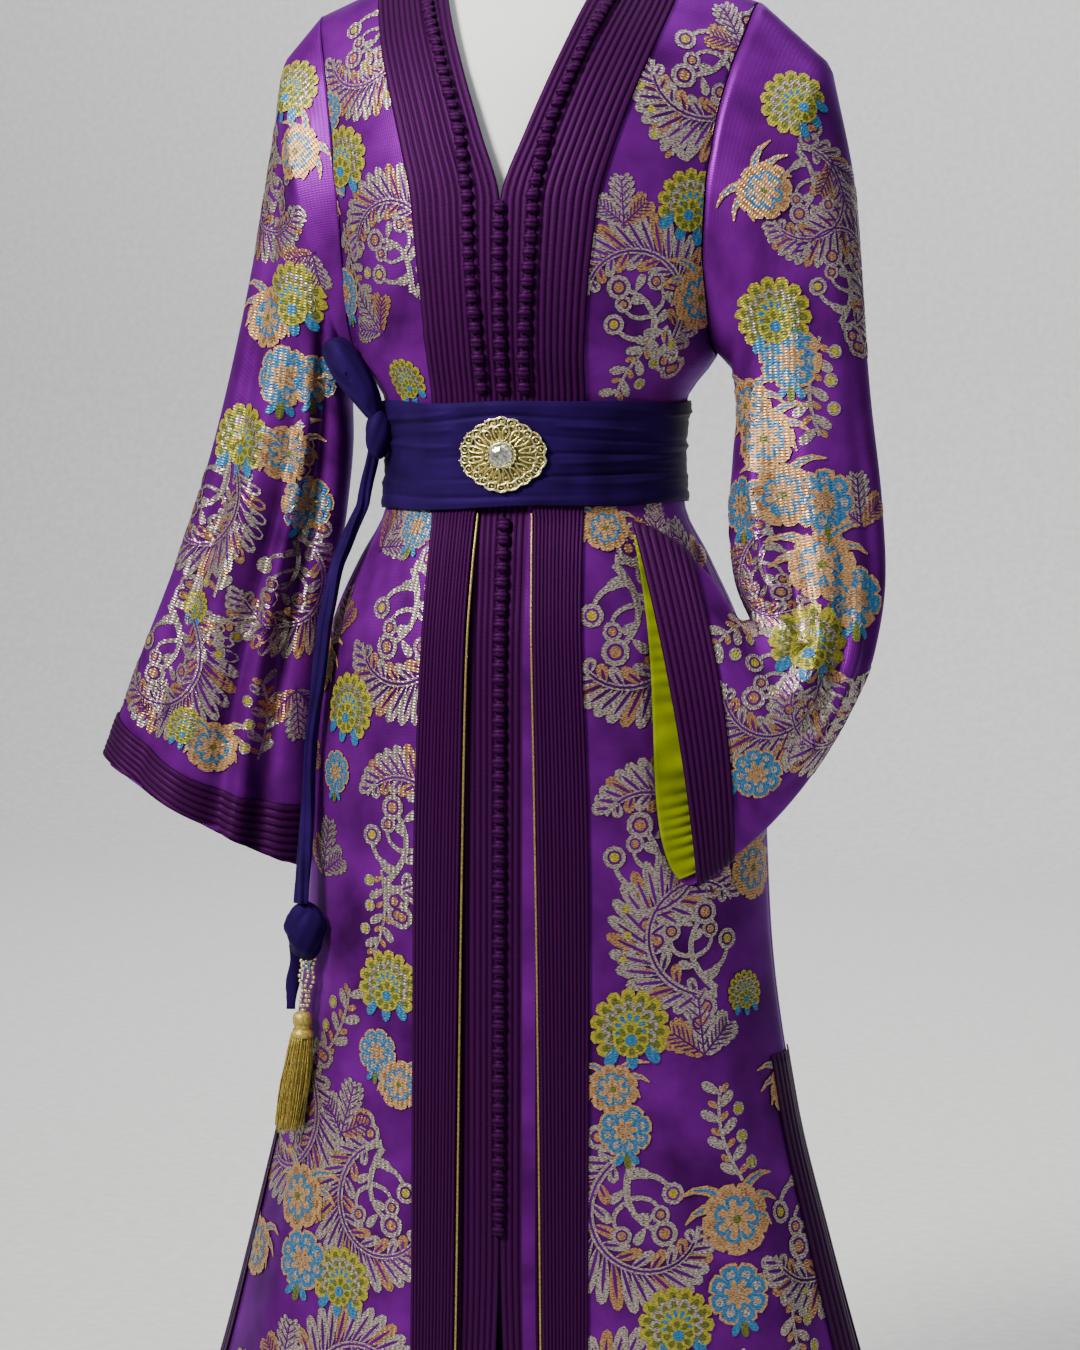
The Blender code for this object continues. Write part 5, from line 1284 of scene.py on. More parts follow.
def knotTape(node, pointAt, count):
    # silk knots tied one after another on a narrow tape, each a ball of slanting turns
    verts, faces, uvs = [], [], []
    around, rings = 12, 7
    for k in range(count):
        share = (k + 0.5) / count
        middle = pointAt(share, 0.0, 0.0)
        ahead = pointAt(min(share + 0.004, 1.0), 0.0, 0.0) - pointAt(max(share - 0.004, 0.0), 0.0, 0.0)
        aside = unit(pointAt(share, 0.001, 0.0) - middle)
        ahead = unit(ahead)
        up = unit(np.cross(aside, ahead))
        if np.dot(pointAt(share, 0.0, 0.001) - middle, up) < 0:
            up = -up
        size = 1 + dice.uniform(-0.06, 0.06)
        lean = dice.uniform(-0.16, 0.16)
        half, wide, high = (size * part for part in trim["knot"])
        first = len(verts)
        for i in range(1, rings):
            down = math.pi * i / rings
            for j in range(around):
                turn = 2 * math.pi * j / around
                swell = 1 + 0.13 * math.sin(3 * turn + 2.2 * down * 2)
                a = half * math.sin(down) * math.cos(turn) * swell
                b = wide * math.sin(down) * math.sin(turn) * swell
                a, b = a * math.cos(lean) - b * math.sin(lean), a * math.sin(lean) + b * math.cos(lean)
                c = high * (0.52 + 0.56 * math.cos(down))
                verts.append(middle + ahead * a + aside * b + up * c)
                uvs.append((a + 0.02 * k, b + c))
        verts.append(middle + up * high * 1.08)
        uvs.append((0.02 * k, 0))
        faces += [tuple(first + quad) for quad in gridFaces(rings - 1, around, ring=True)]
        faces += [(len(verts) - 1, first + (j + 1) % around, first + j) for j in range(around)]
    knots = addPiece(f"{node}_turns", verts, faces, braidMaterial, uvs)
    half = trim["tapeHalf"]
    section = [(-half, 0.0), (-half * 0.9, 0.0008), (0.0, 0.0012), (half * 0.9, 0.0008), (half, 0.0)]
    rings = np.array([[pointAt(share, across, out) for across, out in section]
                      for share in np.linspace(0, 1, count * 2 + 1)])
    flat = [(across, share * count * 0.0125)
            for share in np.linspace(0, 1, count * 2 + 1) for across, out in section]
    tape = loft(f"{node}_tape", rings, braidMaterial, uvs=flat)
    return place(facesOut(joined(f"silk_{node}", [knots, tape])), "braid", node)


def frontKnots(side):
    low, high = trim["sashHigh"] + 0.006, body["ridge"] - 0.004

    def pointAt(share, across, out):
        station = high + (low - high) * share
        height = float(stationHeight(station))
        beside = smoothStep(1.08, trim["vPoint"], height) * (1 - smoothStep(trim["vPoint"], 1.32, height))
        x = float(bandInner(height)) + 0.0185 + 0.010 * float(beside) + across
        return cloth(side * angleAt(x, station), station, trim["onBraid"] + out)

    return knotTape(sided("knots", side), pointAt, round((body["ridge"] - low) / trim["knotPitch"]))


def middleKnots():
    low, high = trim["sashHigh"] + 0.006, trim["vPoint"] - 0.006

    def pointAt(share, across, out):
        station = float(heightStation(high + (low - high) * share))
        return cloth(angleAt(across, station), station, trim["onBraid"] + out)

    return knotTape("knots_middle", pointAt, round((high - low) / trim["knotPitch"]))


def lowerKnots():
    low, high = braid["placketSplit"], trim["sashLow"] - 0.008

    def pointAt(share, across, out):
        station = high + (low - high) * share
        return cloth(angleAt(across, station), station, float(placketOut(station)) + 0.0003 + out)

    return knotTape("knots_lower", pointAt, round((high - low) / trim["lowerPitch"]))


def neckKnots():
    def pointAt(share, across, out):
        along = -0.97 + 1.94 * share
        return neckPoint(np.array(along), np.array(0.30 - across / 0.064), np.array(trim["onBraid"] + out))

    return knotTape("knots_neck", pointAt, trim["neckKnots"])


def makePiping(side):
    # two plies of gold cord laid round each other along the parted edge
    node = sided("piping", side)
    stations = np.linspace(body["hem"], trim["sashLow"] - 0.004, 700)
    radius = trim["pipingRadius"]
    angle = side * angleAt(bandInner(stationHeight(stations)) - 0.0004 - radius, stations)
    middle = cloth(angle, stations, -0.0002 + 0 * angle)
    way = bodyNormal(angle, stations)
    over = unit(np.cross(way, np.array([0, 0, 1.0])))
    turn = np.linspace(0, 2 * math.pi, 9)[None, :-1]
    lobe = radius * (0.82 + 0.20 * np.abs(np.cos(turn - stations[:, None] / trim["pipingTwist"] * math.pi)))
    rings = (middle[:, None] + way[:, None] * (lobe * np.sin(turn))[..., None]
             + over[:, None] * (lobe * np.cos(turn))[..., None])
    return place(loft(f"cord_{node}", rings, goldCord), "gold_cord", node)


knots = [frontKnots(-1), frontKnots(1), middleKnots(), lowerKnots(), neckKnots()]
piping = [makePiping(side) for side in (-1, 1)]
print("knots and piping made")

# the sash and what hangs from it
sash = {
    "thick": 0.0032,
    "ease": 0.0019,
    "overBands": 0.0030,
    # share of the height at the tied side, at the middle and at the far side, depth, half width
    "wrinkles": [
        (0.80, 0.95, 0.90, 0.0020, 0.020), (0.74, 0.86, 0.80, -0.0020, 0.016),
        (0.70, 0.78, 0.68, 0.0024, 0.022), (0.64, 0.69, 0.60, -0.0018, 0.016),
        (0.58, 0.60, 0.56, 0.0020, 0.024), (0.50, 0.49, 0.50, -0.0022, 0.014),
        (0.44, 0.42, 0.42, 0.0018, 0.026), (0.30, 0.28, 0.30, -0.0024, 0.014),
        (0.24, 0.20, 0.24, 0.0016, 0.030), (0.12, 0.10, 0.12, -0.0018, 0.016),
    ],
    "loop": [
        (-0.1312, 1.060), (-0.1520, 1.080), (-0.1730, 1.106), (-0.1760, 1.124),
        (-0.1650, 1.130), (-0.1470, 1.112), (-0.1335, 1.085),
    ],
    "loopY": -0.052,
    "tie": (-0.1300, -0.0530, 1.0480),
    # how far forward, and how wide the loop is there
    "loopSteps": [(0.011, 0.80), (0.006, 1.05), (0.000, 1.14),
                  (-0.006, 1.02), (-0.0110, 0.62), (-0.0130, 0.06)],
    # height, angle, how far it stands out from the skirt
    "tail": [
        (1.036, -66, 0.0110), (0.990, -71, 0.0150), (0.936, -71, 0.0150), (0.882, -66, 0.0100),
        (0.810, -62, 0.0075), (0.720, -61, 0.0080), (0.660, -59, 0.0130), (0.630, -58, 0.0167),
    ],
    "tailHalf": 0.0112,
    "tailDeep": 0.0062,
    "endAngle": -58,
    "endOut": 0.0175,
    # strings of beads: how far aside and forward, top, how many beads
    "strings": [(0.0005, -0.005, 0.577, 11), (0.0050, -0.002, 0.576, 11), (0.0090, 0.002, 0.578, 12)],
    "stringsEnd": 0.531,
    "bead": 0.0019,
    "strands": 150,
    "strandFall": 0.0865,
    "strandRadius": 0.0006,
    "strandTurn": 2.39996,
}


def sashBase(angle, height):
    x = np.abs(bodyPoint(angle, height)[..., 0])
    over = np.where(np.cos(angle) > 0, 1 - smoothStep(0.066, 0.096, x), 0.0)
    return sash["ease"] + sash["overBands"] * over


def sashFold(angle, share):
    # long level creases, gathered at the tied side and lying flat under the buckle
    side = np.sin(angle)
    total = 0 * (angle + share)
    for tied, middle, far, depth, half in sash["wrinkles"]:
        line = (middle + (far - middle) * np.clip(side, 0, 1) ** 1.3
                + (tied - middle) * np.clip(-side, 0, 1) ** 1.3)
        line = (line + 0.012 * np.sin(3.1 * angle + 40 * middle)
                + np.where(np.cos(angle) < 0, 0.02 * np.cos(angle), 0))
        fade = 0.55 + 0.45 * np.sin(2.3 * angle + 90 * middle)
        away = (share - line) / half
        total = total + depth * fade * np.exp(-np.abs(away) ** 1.5)
    x = np.abs(bodyPoint(angle, trim["sashLow"] + 0.046 + 0 * angle)[..., 0])
    near = np.where(np.cos(angle) > 0, 1 - smoothStep(0.036, 0.058, x), 0.0)
    return np.where(total > 0, total * (1 - near), total)


def makeSash():
    rows, columns = 64, 300
    share = np.linspace(0, 1, rows)[:, None]
    angle = np.linspace(-math.pi, math.pi, columns, endpoint=False)[None, :]
    low = trim["sashLow"] + 0.004 * np.sin(angle) + 0.0012 * np.sin(5 * angle + 1)
    high = trim["sashHigh"] + 0.0010 * np.sin(4 * angle) + 0.0008 * np.sin(7 * angle + 2)
    height = low + (high - low) * share
    edge = 0.0014 * (np.exp(-(share / 0.03) ** 2) + np.exp(-((1 - share) / 0.03) ** 2))
    out = sashBase(angle, height) + sash["thick"] + sashFold(angle, share) - edge
    points = cloth(angle, height, out)
    arc = runningLength(np.linalg.norm(np.diff(points[rows // 2], axis=0), axis=-1))
    uvs = np.stack(np.broadcast_arrays(arc[None, :], height), -1)
    piece = clothPiece("satin_sash", points, indigo, walls["sash"], ring=True, uvs=uvs)
    return place(piece, "indigo_satin", "sash")


def makeLoop():
    path = np.array(sash["loop"])
    size = len(path)
    centre = path.mean(axis=0)
    places = np.linspace(0, size, 56, endpoint=False)
    whole = places.astype(int)
    f = (places - whole)[:, None]
    p0, p1, p2, p3 = (path[(whole + k) % size] for k in (-1, 0, 1, 2))
    line = 0.5 * (2 * p1 + (p2 - p0) * f + (2 * p0 - 5 * p1 + 4 * p2 - p3) * f ** 2
                  + (3 * p1 - p0 - 3 * p2 + p3) * f ** 3)
    nearTie = 0.25 + 0.75 * smoothStep(0.0, 0.018, np.hypot(*(line - path[0]).T))[:, None]
    rows = []
    steps = sash["loopSteps"]
    for t in np.linspace(0, len(steps) - 1, 26):
        y, wide = (np.interp(t, range(len(steps)), [step[i] for step in steps]) for i in (0, 1))
        pinch = nearTie if wide > 1 else 1.0
        ripple = 1 + 0.05 * np.sin(places * 3 + y * 420)[:, None] * pinch
        flat = centre + (line - centre) * (1 + (wide - 1) * pinch) * ripple
        rows.append(np.stack([flat[:, 0], sash["loopY"] + y + 0 * flat[:, 0], flat[:, 1]], -1))
    piece = clothPiece("satin_sash_loop", np.array(rows), indigo, walls["loop"], ring=True)
    return place(piece, "indigo_satin", "sash_loop")


tailAngle = smoothColumn(sash["tail"][::-1], 1)
tailOut = smoothColumn(sash["tail"][::-1], 2)


def makeTie():
    # the sash is tied here: a short hitch of cloth that the loop and the tail come out of
    down = np.linspace(0.03, math.pi - 0.03, 30)[:, None]
    turn = fullTurn(40)[None, :]
    reach = 0.88 + 0.14 * np.abs(np.sin(2 * turn + 1.6 * down)) ** 0.7
    points = np.array(sash["tie"]) + np.stack([
        0.0120 * np.sin(down) * np.cos(turn) * reach,
        0.0130 * np.sin(down) * np.sin(turn) * reach,
        0.0220 * np.cos(down) + 0.0 * turn,
    ], -1)
    return place(loft("satin_tie", points, indigo, uvs=tubeMap(points)), "indigo_satin")


def makeTail():
    # the gathered tail: one length of cloth folded on itself, its folds turning slowly on the way down
    heights = np.linspace(1.046, 0.6285, 156)
    turn = fullTurn(40)[None, :]
    angle = np.radians(tailAngle(heights))
    base = bodyPoint(angle, heights)
    way = bodyNormal(angle, heights)
    along = unit(np.cross(way, np.array([0, 0, 1.0])))
    drift = (heights[:, None] - 0.6) * 9
    folds = 1 - 0.30 * np.abs(np.sin(2.5 * turn + drift + 0.8 * np.sin(drift * 1.7))) ** 1.6
    narrow = 0.80 + 0.20 * np.sin(heights * 21 + 1.0)[:, None] + 0.10 * np.sin(heights * 47)[:, None]
    across = sash["tailHalf"] * narrow * np.cos(turn) * folds
    deep = sash["tailDeep"] * (1.15 + np.sin(turn) * folds)
    out = tailOut(heights)[:, None] + deep - 0.0012
    points = base[:, None] + way[:, None] * out[..., None] + along[:, None] * across[..., None]
    return place(loft("satin_sash_tail", points, indigo, uvs=tubeMap(points)), "indigo_satin", "sash_tail")


def tubeMap(points):
    rows = len(points)
    u = runningLength(np.linalg.norm(np.diff(points[rows // 2], axis=0), axis=-1))
    v = runningLength(np.linalg.norm(np.diff(points.mean(axis=1), axis=0), axis=-1))
    return np.stack(np.broadcast_arrays(u[None, :], v[:, None]), -1).reshape(-1, 2)


def tailAxis(height):
    angle = math.radians(sash["endAngle"])
    way = bodyNormal(np.array(angle), height) * np.array([1, 1, 0])
    return bodyPoint(angle, height) + unit(way) * sash["endOut"]


def makeTailKnot():
    # an overhand knot: a ball crossed by two slanting bands, and the cut end below it
    middle = tailAxis(0.603)
    down = np.linspace(0.02, math.pi - 0.02, 44)[:, None]
    turn = fullTurn(52)[None, :]
    band = np.abs(np.sin(1.0 * turn + 1.5 * down))
    cross = np.abs(np.sin(1.0 * turn - 1.9 * down + 0.9))
    swell = 0.84 + 0.20 * band ** 0.7 + 0.10 * np.where(cross > 0.82, (cross - 0.82) / 0.18, 0)
    reach = swell * (1 + 0.025 * np.sin(9 * turn + 6 * down))
    points = middle + np.stack([
        0.0185 * np.sin(down) * np.cos(turn) * reach,
        0.0120 * np.sin(down) * np.sin(turn) * reach,
        0.0270 * np.cos(down) * (0.94 + 0.06 * reach),
    ], -1)
    ball = loft("knot_ball", points, indigo, uvs=tubeMap(points))
    heights = np.linspace(0.590, 0.532, 30)
    wide = (0.0068 + 0.0012 * np.sin(heights * 160)) * (0.75 + 0.25 * smoothStep(0.532, 0.545, heights))
    wide = wide[:, None]
    turn = fullTurn(20)[None, :]
    fold = 1 - 0.25 * np.abs(np.sin(1.5 * turn + heights[:, None] * 60))
    centre = np.array([tailAxis(height) for height in heights])
    points = centre[:, None] + np.stack(np.broadcast_arrays(
        -0.0085 + wide * np.cos(turn) * fold, -0.0015 + 0.0035 * np.sin(turn) * fold, 0 * wide), -1)
    end = loft("knot_end", points, indigo, uvs=tubeMap(points))
    return place(joined("satin_tail_knot", [ball, end]), "indigo_satin", "tail_knot")


def makeBeads():
    # strings of small gilt beads between the knot and the tassel
    axis = tailAxis(0.552)
    pieces = []
    for aside, fore, top, count in sash["strings"]:
        for k in range(count):
            t = k / (count - 1)
            drop = top + (sash["stringsEnd"] - top) * t
            sway = 0.0012 * math.sin(k * 1.3 + aside * 900)
            reach = (1 - t ** 2) * 0.9 + 0.25
            spot = (axis[0] + aside * reach + sway, axis[1] + fore * reach, drop)
            bpy.ops.mesh.primitive_uv_sphere_add(segments=10, ring_count=7, radius=sash["bead"],
                                                 location=spot)
            pieces.append(bpy.context.object)
    for piece in pieces:
        piece.data.materials.append(bead)
        piece.data.shade_smooth()
        settle(piece)
    return place(joined("bead_strings", pieces), "gold_thread", "tassel_cord")


def makeTassel():
    # a bound head, and strands that fall a little apart along the skirt
    centre = tailAxis(0.55)
    lean = (tailAxis(0.42) - tailAxis(0.53)) / 0.11
    profile = [(0.5300, 0.0030), (0.5292, 0.0058), (0.5272, 0.0080), (0.5240, 0.0088), (0.5205, 0.0088),
               (0.5185, 0.0084), (0.5178, 0.0074), (0.5168, 0.0079), (0.5158, 0.0073), (0.5148, 0.0079),
               (0.5138, 0.0074), (0.5128, 0.0086), (0.5105, 0.0100), (0.5070, 0.0104), (0.5050, 0.0060)]
    turn = fullTurn(40)
    rings = []
    for height, radius in profile:
        ridge = 1 + (0.04 * np.sin(20 * turn) if height > 0.5185 or height < 0.5130 else 0 * turn)
        reach = radius * ridge
        rings.append(np.stack([centre[0] + reach * np.cos(turn), centre[1] + reach * np.sin(turn),
                               height + 0 * turn], -1))
    head = loft("tassel_head", np.array(rings), goldThread)
    verts, faces = [], []
    steps, sides, thick = 12, 4, sash["strandRadius"]
    for k in range(sash["strands"]):
        first = len(verts)
        spin = k * sash["strandTurn"]
        reach = math.sqrt((k + 0.5) / sash["strands"])
        root = 0.0096 * reach
        fall = sash["strandFall"] + dice.uniform(-0.005, 0.005)
        phase = dice.uniform(0, 6.28)
        for i in range(steps):
            t = i / (steps - 1)
            spread = root * (1 + 0.42 * math.sin(math.pi * min(t * 0.8, 1)))
            sway = 0.0007 * math.sin(5 * t + phase)
            x = centre[0] + (spread + sway) * math.cos(spin) + lean[0] * fall * t
            y = centre[1] + (spread + sway) * math.sin(spin) + lean[1] * fall * t
            z = 0.5100 - fall * t
            for j in range(sides):
                a = 2 * math.pi * j / sides + 9 * t
                verts.append((x + thick * math.cos(a), y + thick * math.sin(a), z))
        for i in range(steps - 1):
            for j in range(sides):
                n = (j + 1) % sides
                faces.append((first + i * sides + j, first + (i + 1) * sides + j,
                              first + (i + 1) * sides + n, first + i * sides + n))
        faces.append(tuple(first + (steps - 1) * sides + j for j in range(sides))[::-1])
        faces.append(tuple(first + j for j in range(sides)))
    strands = addPiece("tassel_strands", verts, faces, goldThread)
    return place(joined("thread_tassel", [head, strands]), "gold_thread", "tassel")


sashPiece = makeSash()
loopPiece = makeLoop()
tailPiece = makeTail()
tie = makeTie()
tailKnot = makeTailKnot()
beads = makeBeads()
tassel = makeTassel()
print("sash, tail and tassel made")

# the buckle is made flat in metres, X across and Z up, then bent to the sash
buckle = {
    "half": (0.0370, 0.0315),
    "middle": 1.0315,
    "seat": 0.0006,
    "wire": 0.00075,
    # two wires that follow the outline: share of it, height, radius
    "outlines": [(0.975, 0.0020, 0.00095), (0.785, 0.0030, 0.00075)],
    # share of the outline, how many, ring radius, height, ball in it
    "rings": (0.868, 22, 0.0032, 0.0026, 0.0011),
    # share of the outline where a petal starts and ends, how many, half width, height, ball in it
    "petals": (0.40, 0.770, 16, 0.0030, 0.0036, 0.0012),
    "edgeBeads": 44,
    "stoneBeads": 22,
    "claws": 6,
}


def buckleEdge(turn, share=1.0):
    wide, high = buckle["half"]
    flat = 0.075 * math.exp(-(math.sin(turn) / 0.30) ** 2)
    lobes = 0.985 + 0.040 * math.cos(4 * turn) + 0.055 * abs(math.sin(9 * turn)) - flat
    reach = share / math.hypot(math.cos(turn) / wide, math.sin(turn) / high)
    return reach * lobes * math.cos(turn), reach * lobes * math.sin(turn)


def onSash(points):
    x, out, up = points[:, 0], -points[:, 1], points[:, 2]
    height = buckle["middle"] + up
    return cloth(angleAt(x, height), height,
                 sash["ease"] + sash["overBands"] + sash["thick"] + buckle["seat"] + out)


def bentToSash(name, parts, material, slotName, node=None, flat=False):
    for part in parts:
        settle(part)
        part.data.materials.clear()
        part.data.materials.append(material)
        part.data.polygons.foreach_set("use_smooth", [not flat] * len(part.data.polygons))
    piece = joined(name, parts) if len(parts) > 1 else parts[0]
    piece.name = name
    coords = np.zeros(len(piece.data.vertices) * 3)
    piece.data.vertices.foreach_get("co", coords)
    piece.data.vertices.foreach_set("co", onSash(coords.reshape(-1, 3)).ravel())
    piece.data.update()
    return place(piece, slotName, *([node] if node else []))


def ring(x, up, out, major, minor, sides=14):
    bpy.ops.mesh.primitive_torus_add(major_segments=sides, minor_segments=6, major_radius=major,
                                     minor_radius=minor, location=(x, -out, up), rotation=(math.pi / 2, 0, 0))
    return bpy.context.object


def ball(x, up, out, radius, fine=2):
    bpy.ops.mesh.primitive_ico_sphere_add(subdivisions=fine, radius=radius, location=(x, -out, up))
    return bpy.context.object


def wireLoop(path, radius):
    # a wire bent along a path, as a curve turned to a mesh
    line = bpy.data.curves.new("wire", "CURVE")
    line.dimensions = "3D"
    line.bevel_depth = radius
    line.bevel_resolution = 1
    spline = line.splines.new("POLY")
    spline.points.add(len(path) - 1)
    for point, (x, up, out) in zip(spline.points, path):
        point.co = (x, -out, up, 1)
    spline.use_cyclic_u = True
    wire = bpy.data.objects.new("wire", line)
    bpy.context.scene.collection.objects.link(wire)
    pickOnly(wire)
    bpy.ops.object.convert(target="MESH")
    return bpy.context.object


def makeBuckle():
    parts = []
    turns = fullTurn(120)
    for share, out, radius in buckle["outlines"]:
        parts.append(wireLoop([buckleEdge(t, share) + (out,) for t in turns], radius))
    share, count, radius, out, pearl = buckle["rings"]
    for k in range(count):
        x, up = buckleEdge(2 * math.pi * (k + 0.5) / count, share)
        parts.append(ring(x, up, out, radius, buckle["wire"]))
        parts.append(ball(x, up, out + 0.0004, pearl, 1))
    start, end, count, wide, out, pearl = buckle["petals"]
    for k in range(count):
        turn = 2 * math.pi * (k + 0.5) / count
        (ax, ay), (bx, by) = buckleEdge(turn, start), buckleEdge(turn, end)
        path = []
        for j in range(16):
            t = (1 - math.cos(2 * math.pi * j / 16)) / 2
            aside = wide * math.sin(2 * math.pi * j / 16) * (0.45 + 0.75 * t)
            path.append((ax + (bx - ax) * t - aside * math.sin(turn),
                         ay + (by - ay) * t + aside * math.cos(turn), out + 0.0012 * (1 - t)))
        parts.append(wireLoop(path, buckle["wire"]))
        parts.append(ball(ax + (bx - ax) * 0.66, ay + (by - ay) * 0.66, out + 0.0002, pearl, 1))
    for k in range(buckle["edgeBeads"]):
        x, up = buckleEdge(2 * math.pi * k / buckle["edgeBeads"], 0.985)
        parts.append(ball(x, up, 0.0030, 0.00095, 1))
    for k in range(buckle["stoneBeads"]):
        turn = 2 * math.pi * k / buckle["stoneBeads"]
        parts.append(ball(0.0124 * math.cos(turn), 0.0124 * math.sin(turn), 0.0060, 0.0011, 1))
    bpy.ops.mesh.primitive_cone_add(vertices=40, radius1=0.0142, radius2=0.0112, depth=0.0052,
                                    location=(0, -0.0036, 0), rotation=(math.pi / 2, 0, 0))
    parts.append(bpy.context.object)
    parts.append(ring(0, 0, 0.0066, 0.0106, 0.0007, 40))
    for k in range(buckle["claws"]):
        turn = 2 * math.pi * (k + 0.5) / buckle["claws"]
        spot = (0.0100 * math.cos(turn), -0.0078, 0.0100 * math.sin(turn))
        bpy.ops.mesh.primitive_cylinder_add(vertices=8, radius=0.0006, depth=0.0040, location=spot,
                                            rotation=(math.pi / 2, 0, 0))
        parts.append(bpy.context.object)
    filigree = bentToSash("buckle_filigree", parts, gilt, "gilt", "buckle_plate")
    # the backing plate behind the wires, in the gilt that is painted darker as shade
    bpy.ops.mesh.primitive_circle_add(vertices=120, radius=1.0, fill_type="TRIFAN")
    plate = bpy.context.object
    for vert in plate.data.vertices:
        reach = math.hypot(vert.co.x, vert.co.y)
        x, up = buckleEdge(math.atan2(vert.co.y, vert.co.x), 0.975 * reach) if reach > 0.01 else (0.0, 0.0)
        vert.co = (x, -0.0014, up)
    pickOnly(plate)
    bpy.ops.object.mode_set(mode="EDIT")
    bpy.ops.mesh.select_all(action="SELECT")
    bpy.ops.mesh.subdivide(number_cuts=3)
    bpy.ops.mesh.extrude_region_move(TRANSFORM_OT_translate={"value": (0, 0.0012, 0)})
    bpy.ops.mesh.select_all(action="SELECT")
    bpy.ops.mesh.normals_make_consistent(inside=False)
    bpy.ops.object.mode_set(mode="OBJECT")
    backing = bentToSash("buckle_backing", [plate], giltShadedRecess, "gilt")
    return filigree, backing


def makeStone():
    # a round cut crystal: crown, girdle and table, with flat facets
    bpy.ops.mesh.primitive_uv_sphere_add(segments=14, ring_count=8, radius=1.0)
    stone = bpy.context.object
    for vert in stone.data.vertices:
        x, y, z = vert.co
        vert.co = (x * 0.0104, -0.0062 - 0.0054 * min(max(z, -0.55), 0.92), y * 0.0104)
    return bentToSash("buckle_crystal", [stone], crystal, "crystal", "buckle_stone", flat=True)


buckleParts = makeBuckle()
stone = makeStone()
print("buckle made")

# the dress form and its stand: height, half width, front depth, back depth
form = {
    "bottom": 0.745,
    "hips": [
        (0.745, 0.140, 0.092, 0.108), (0.790, 0.152, 0.098, 0.116), (0.860, 0.150, 0.096, 0.114),
        (0.930, 0.128, 0.086, 0.098), (1.000, 0.114, 0.082, 0.086), (1.060, 0.116, 0.084, 0.084),
        (1.120, 0.134, 0.098, 0.090),
    ],
    "topRow": 1.10,
    "neckY": 0.008,
    "neck": [
        (1.380, 0.050, 0.046), (1.455, 0.056, 0.052), (1.485, 0.052, 0.050), (1.520, 0.050, 0.049),
        (1.5452, 0.051, 0.050),
    ],
    "poleRadius": 0.013,
    "baseRadius": 0.145,
    "baseThick": 0.016,
    "grain": 0.0065,
}


def formRow(turn, station):
    height = stationHeight(station)
    wide = armEdge(height) - 0.006
    depth = np.where(np.cos(turn) > 0, frontDepth(height), backDepth(height)) - 0.006
    depth = np.minimum(depth, 0.120) * roundOver(station)
    x = wide * np.sin(turn)
    rise = (height - body["underarm"]) / body["yokeRise"]
    drop = 0.0032 + 0.004 * np.minimum(1.0, 4 * (1 - rise))
    z = body["underarm"] + (shoulderLine(x) - body["underarm"]) * rise - drop * rise
    return np.stack(np.broadcast_arrays(x, seamBack(height) - depth * np.cos(turn), z), -1)


def makeForm():
    turn = fullTurn(72)
    wide, fore, aft = (smoothColumn(form["hips"], i) for i in (1, 2, 3))
    rows = []
    for height in np.linspace(form["bottom"], form["topRow"], 36):
        depth = np.where(np.cos(turn) > 0, fore(height), aft(height))
        rows.append(np.stack([wide(height) * np.sin(turn), seamBack(height) - depth * np.cos(turn),
                              height + 0 * turn], -1))
    for station in np.linspace(body["underarm"] + 0.02, body["ridge"] - 0.002, 40):
        rows.append(formRow(turn, station))
    torso = loft("form_body", np.array(rows), linenCover)
    heights = np.linspace(form["neck"][0][0], form["neck"][-1][0], 20)
    across, deep = smoothColumn(form["neck"], 1), smoothColumn(form["neck"], 2)
    rings = [np.stack([across(h) * np.sin(turn), form["neckY"] - deep(h) * np.cos(turn), h + 0 * turn], -1)
             for h in heights]
    neck = loft("form_neck", np.array(rings), linenCover)
    piece = joined("linen_form", [torso, neck])
    merge = piece.modifiers.new("one skin", "REMESH")
    merge.mode = "VOXEL"
    merge.voxel_size = form["grain"]
    merge.use_smooth_shade = True
    soften = piece.modifiers.new("soften", "SMOOTH")
    soften.factor = 0.5
    soften.iterations = 8
    return place(piece, "linen", "form_torso")


def turnedPart(name, profile, middle, sides=64):
    # a disc drawn out along the profile: its face is extruded to each height and scaled to the radius there
    height, radius = profile[0]
    bpy.ops.object.select_all(action="DESELECT")
    bpy.ops.mesh.primitive_circle_add(vertices=sides, radius=radius, fill_type="NGON", calc_uvs=False,
                                      location=(middle[0], middle[1], height))
    piece = bpy.context.object
    bpy.ops.object.mode_set(mode="EDIT")
    bpy.ops.mesh.select_all(action="SELECT")
    for nextHeight, nextRadius in profile[1:]:
        bpy.ops.mesh.extrude_region_move(TRANSFORM_OT_translate={"value": (0, 0, nextHeight - height)})
        bpy.ops.transform.resize(value=(nextRadius / radius, nextRadius / radius, 1),
                                 center_override=(middle[0], middle[1], nextHeight))
        height, radius = nextHeight, nextRadius
    bpy.ops.mesh.select_all(action="SELECT")
    bpy.ops.mesh.normals_make_consistent(inside=False)
    bpy.ops.object.mode_set(mode="OBJECT")
    settle(piece)
    piece.name = name
    piece.data.name = name
    piece.data.materials.append(standPaint)
    piece.data.shade_smooth()
    return piece


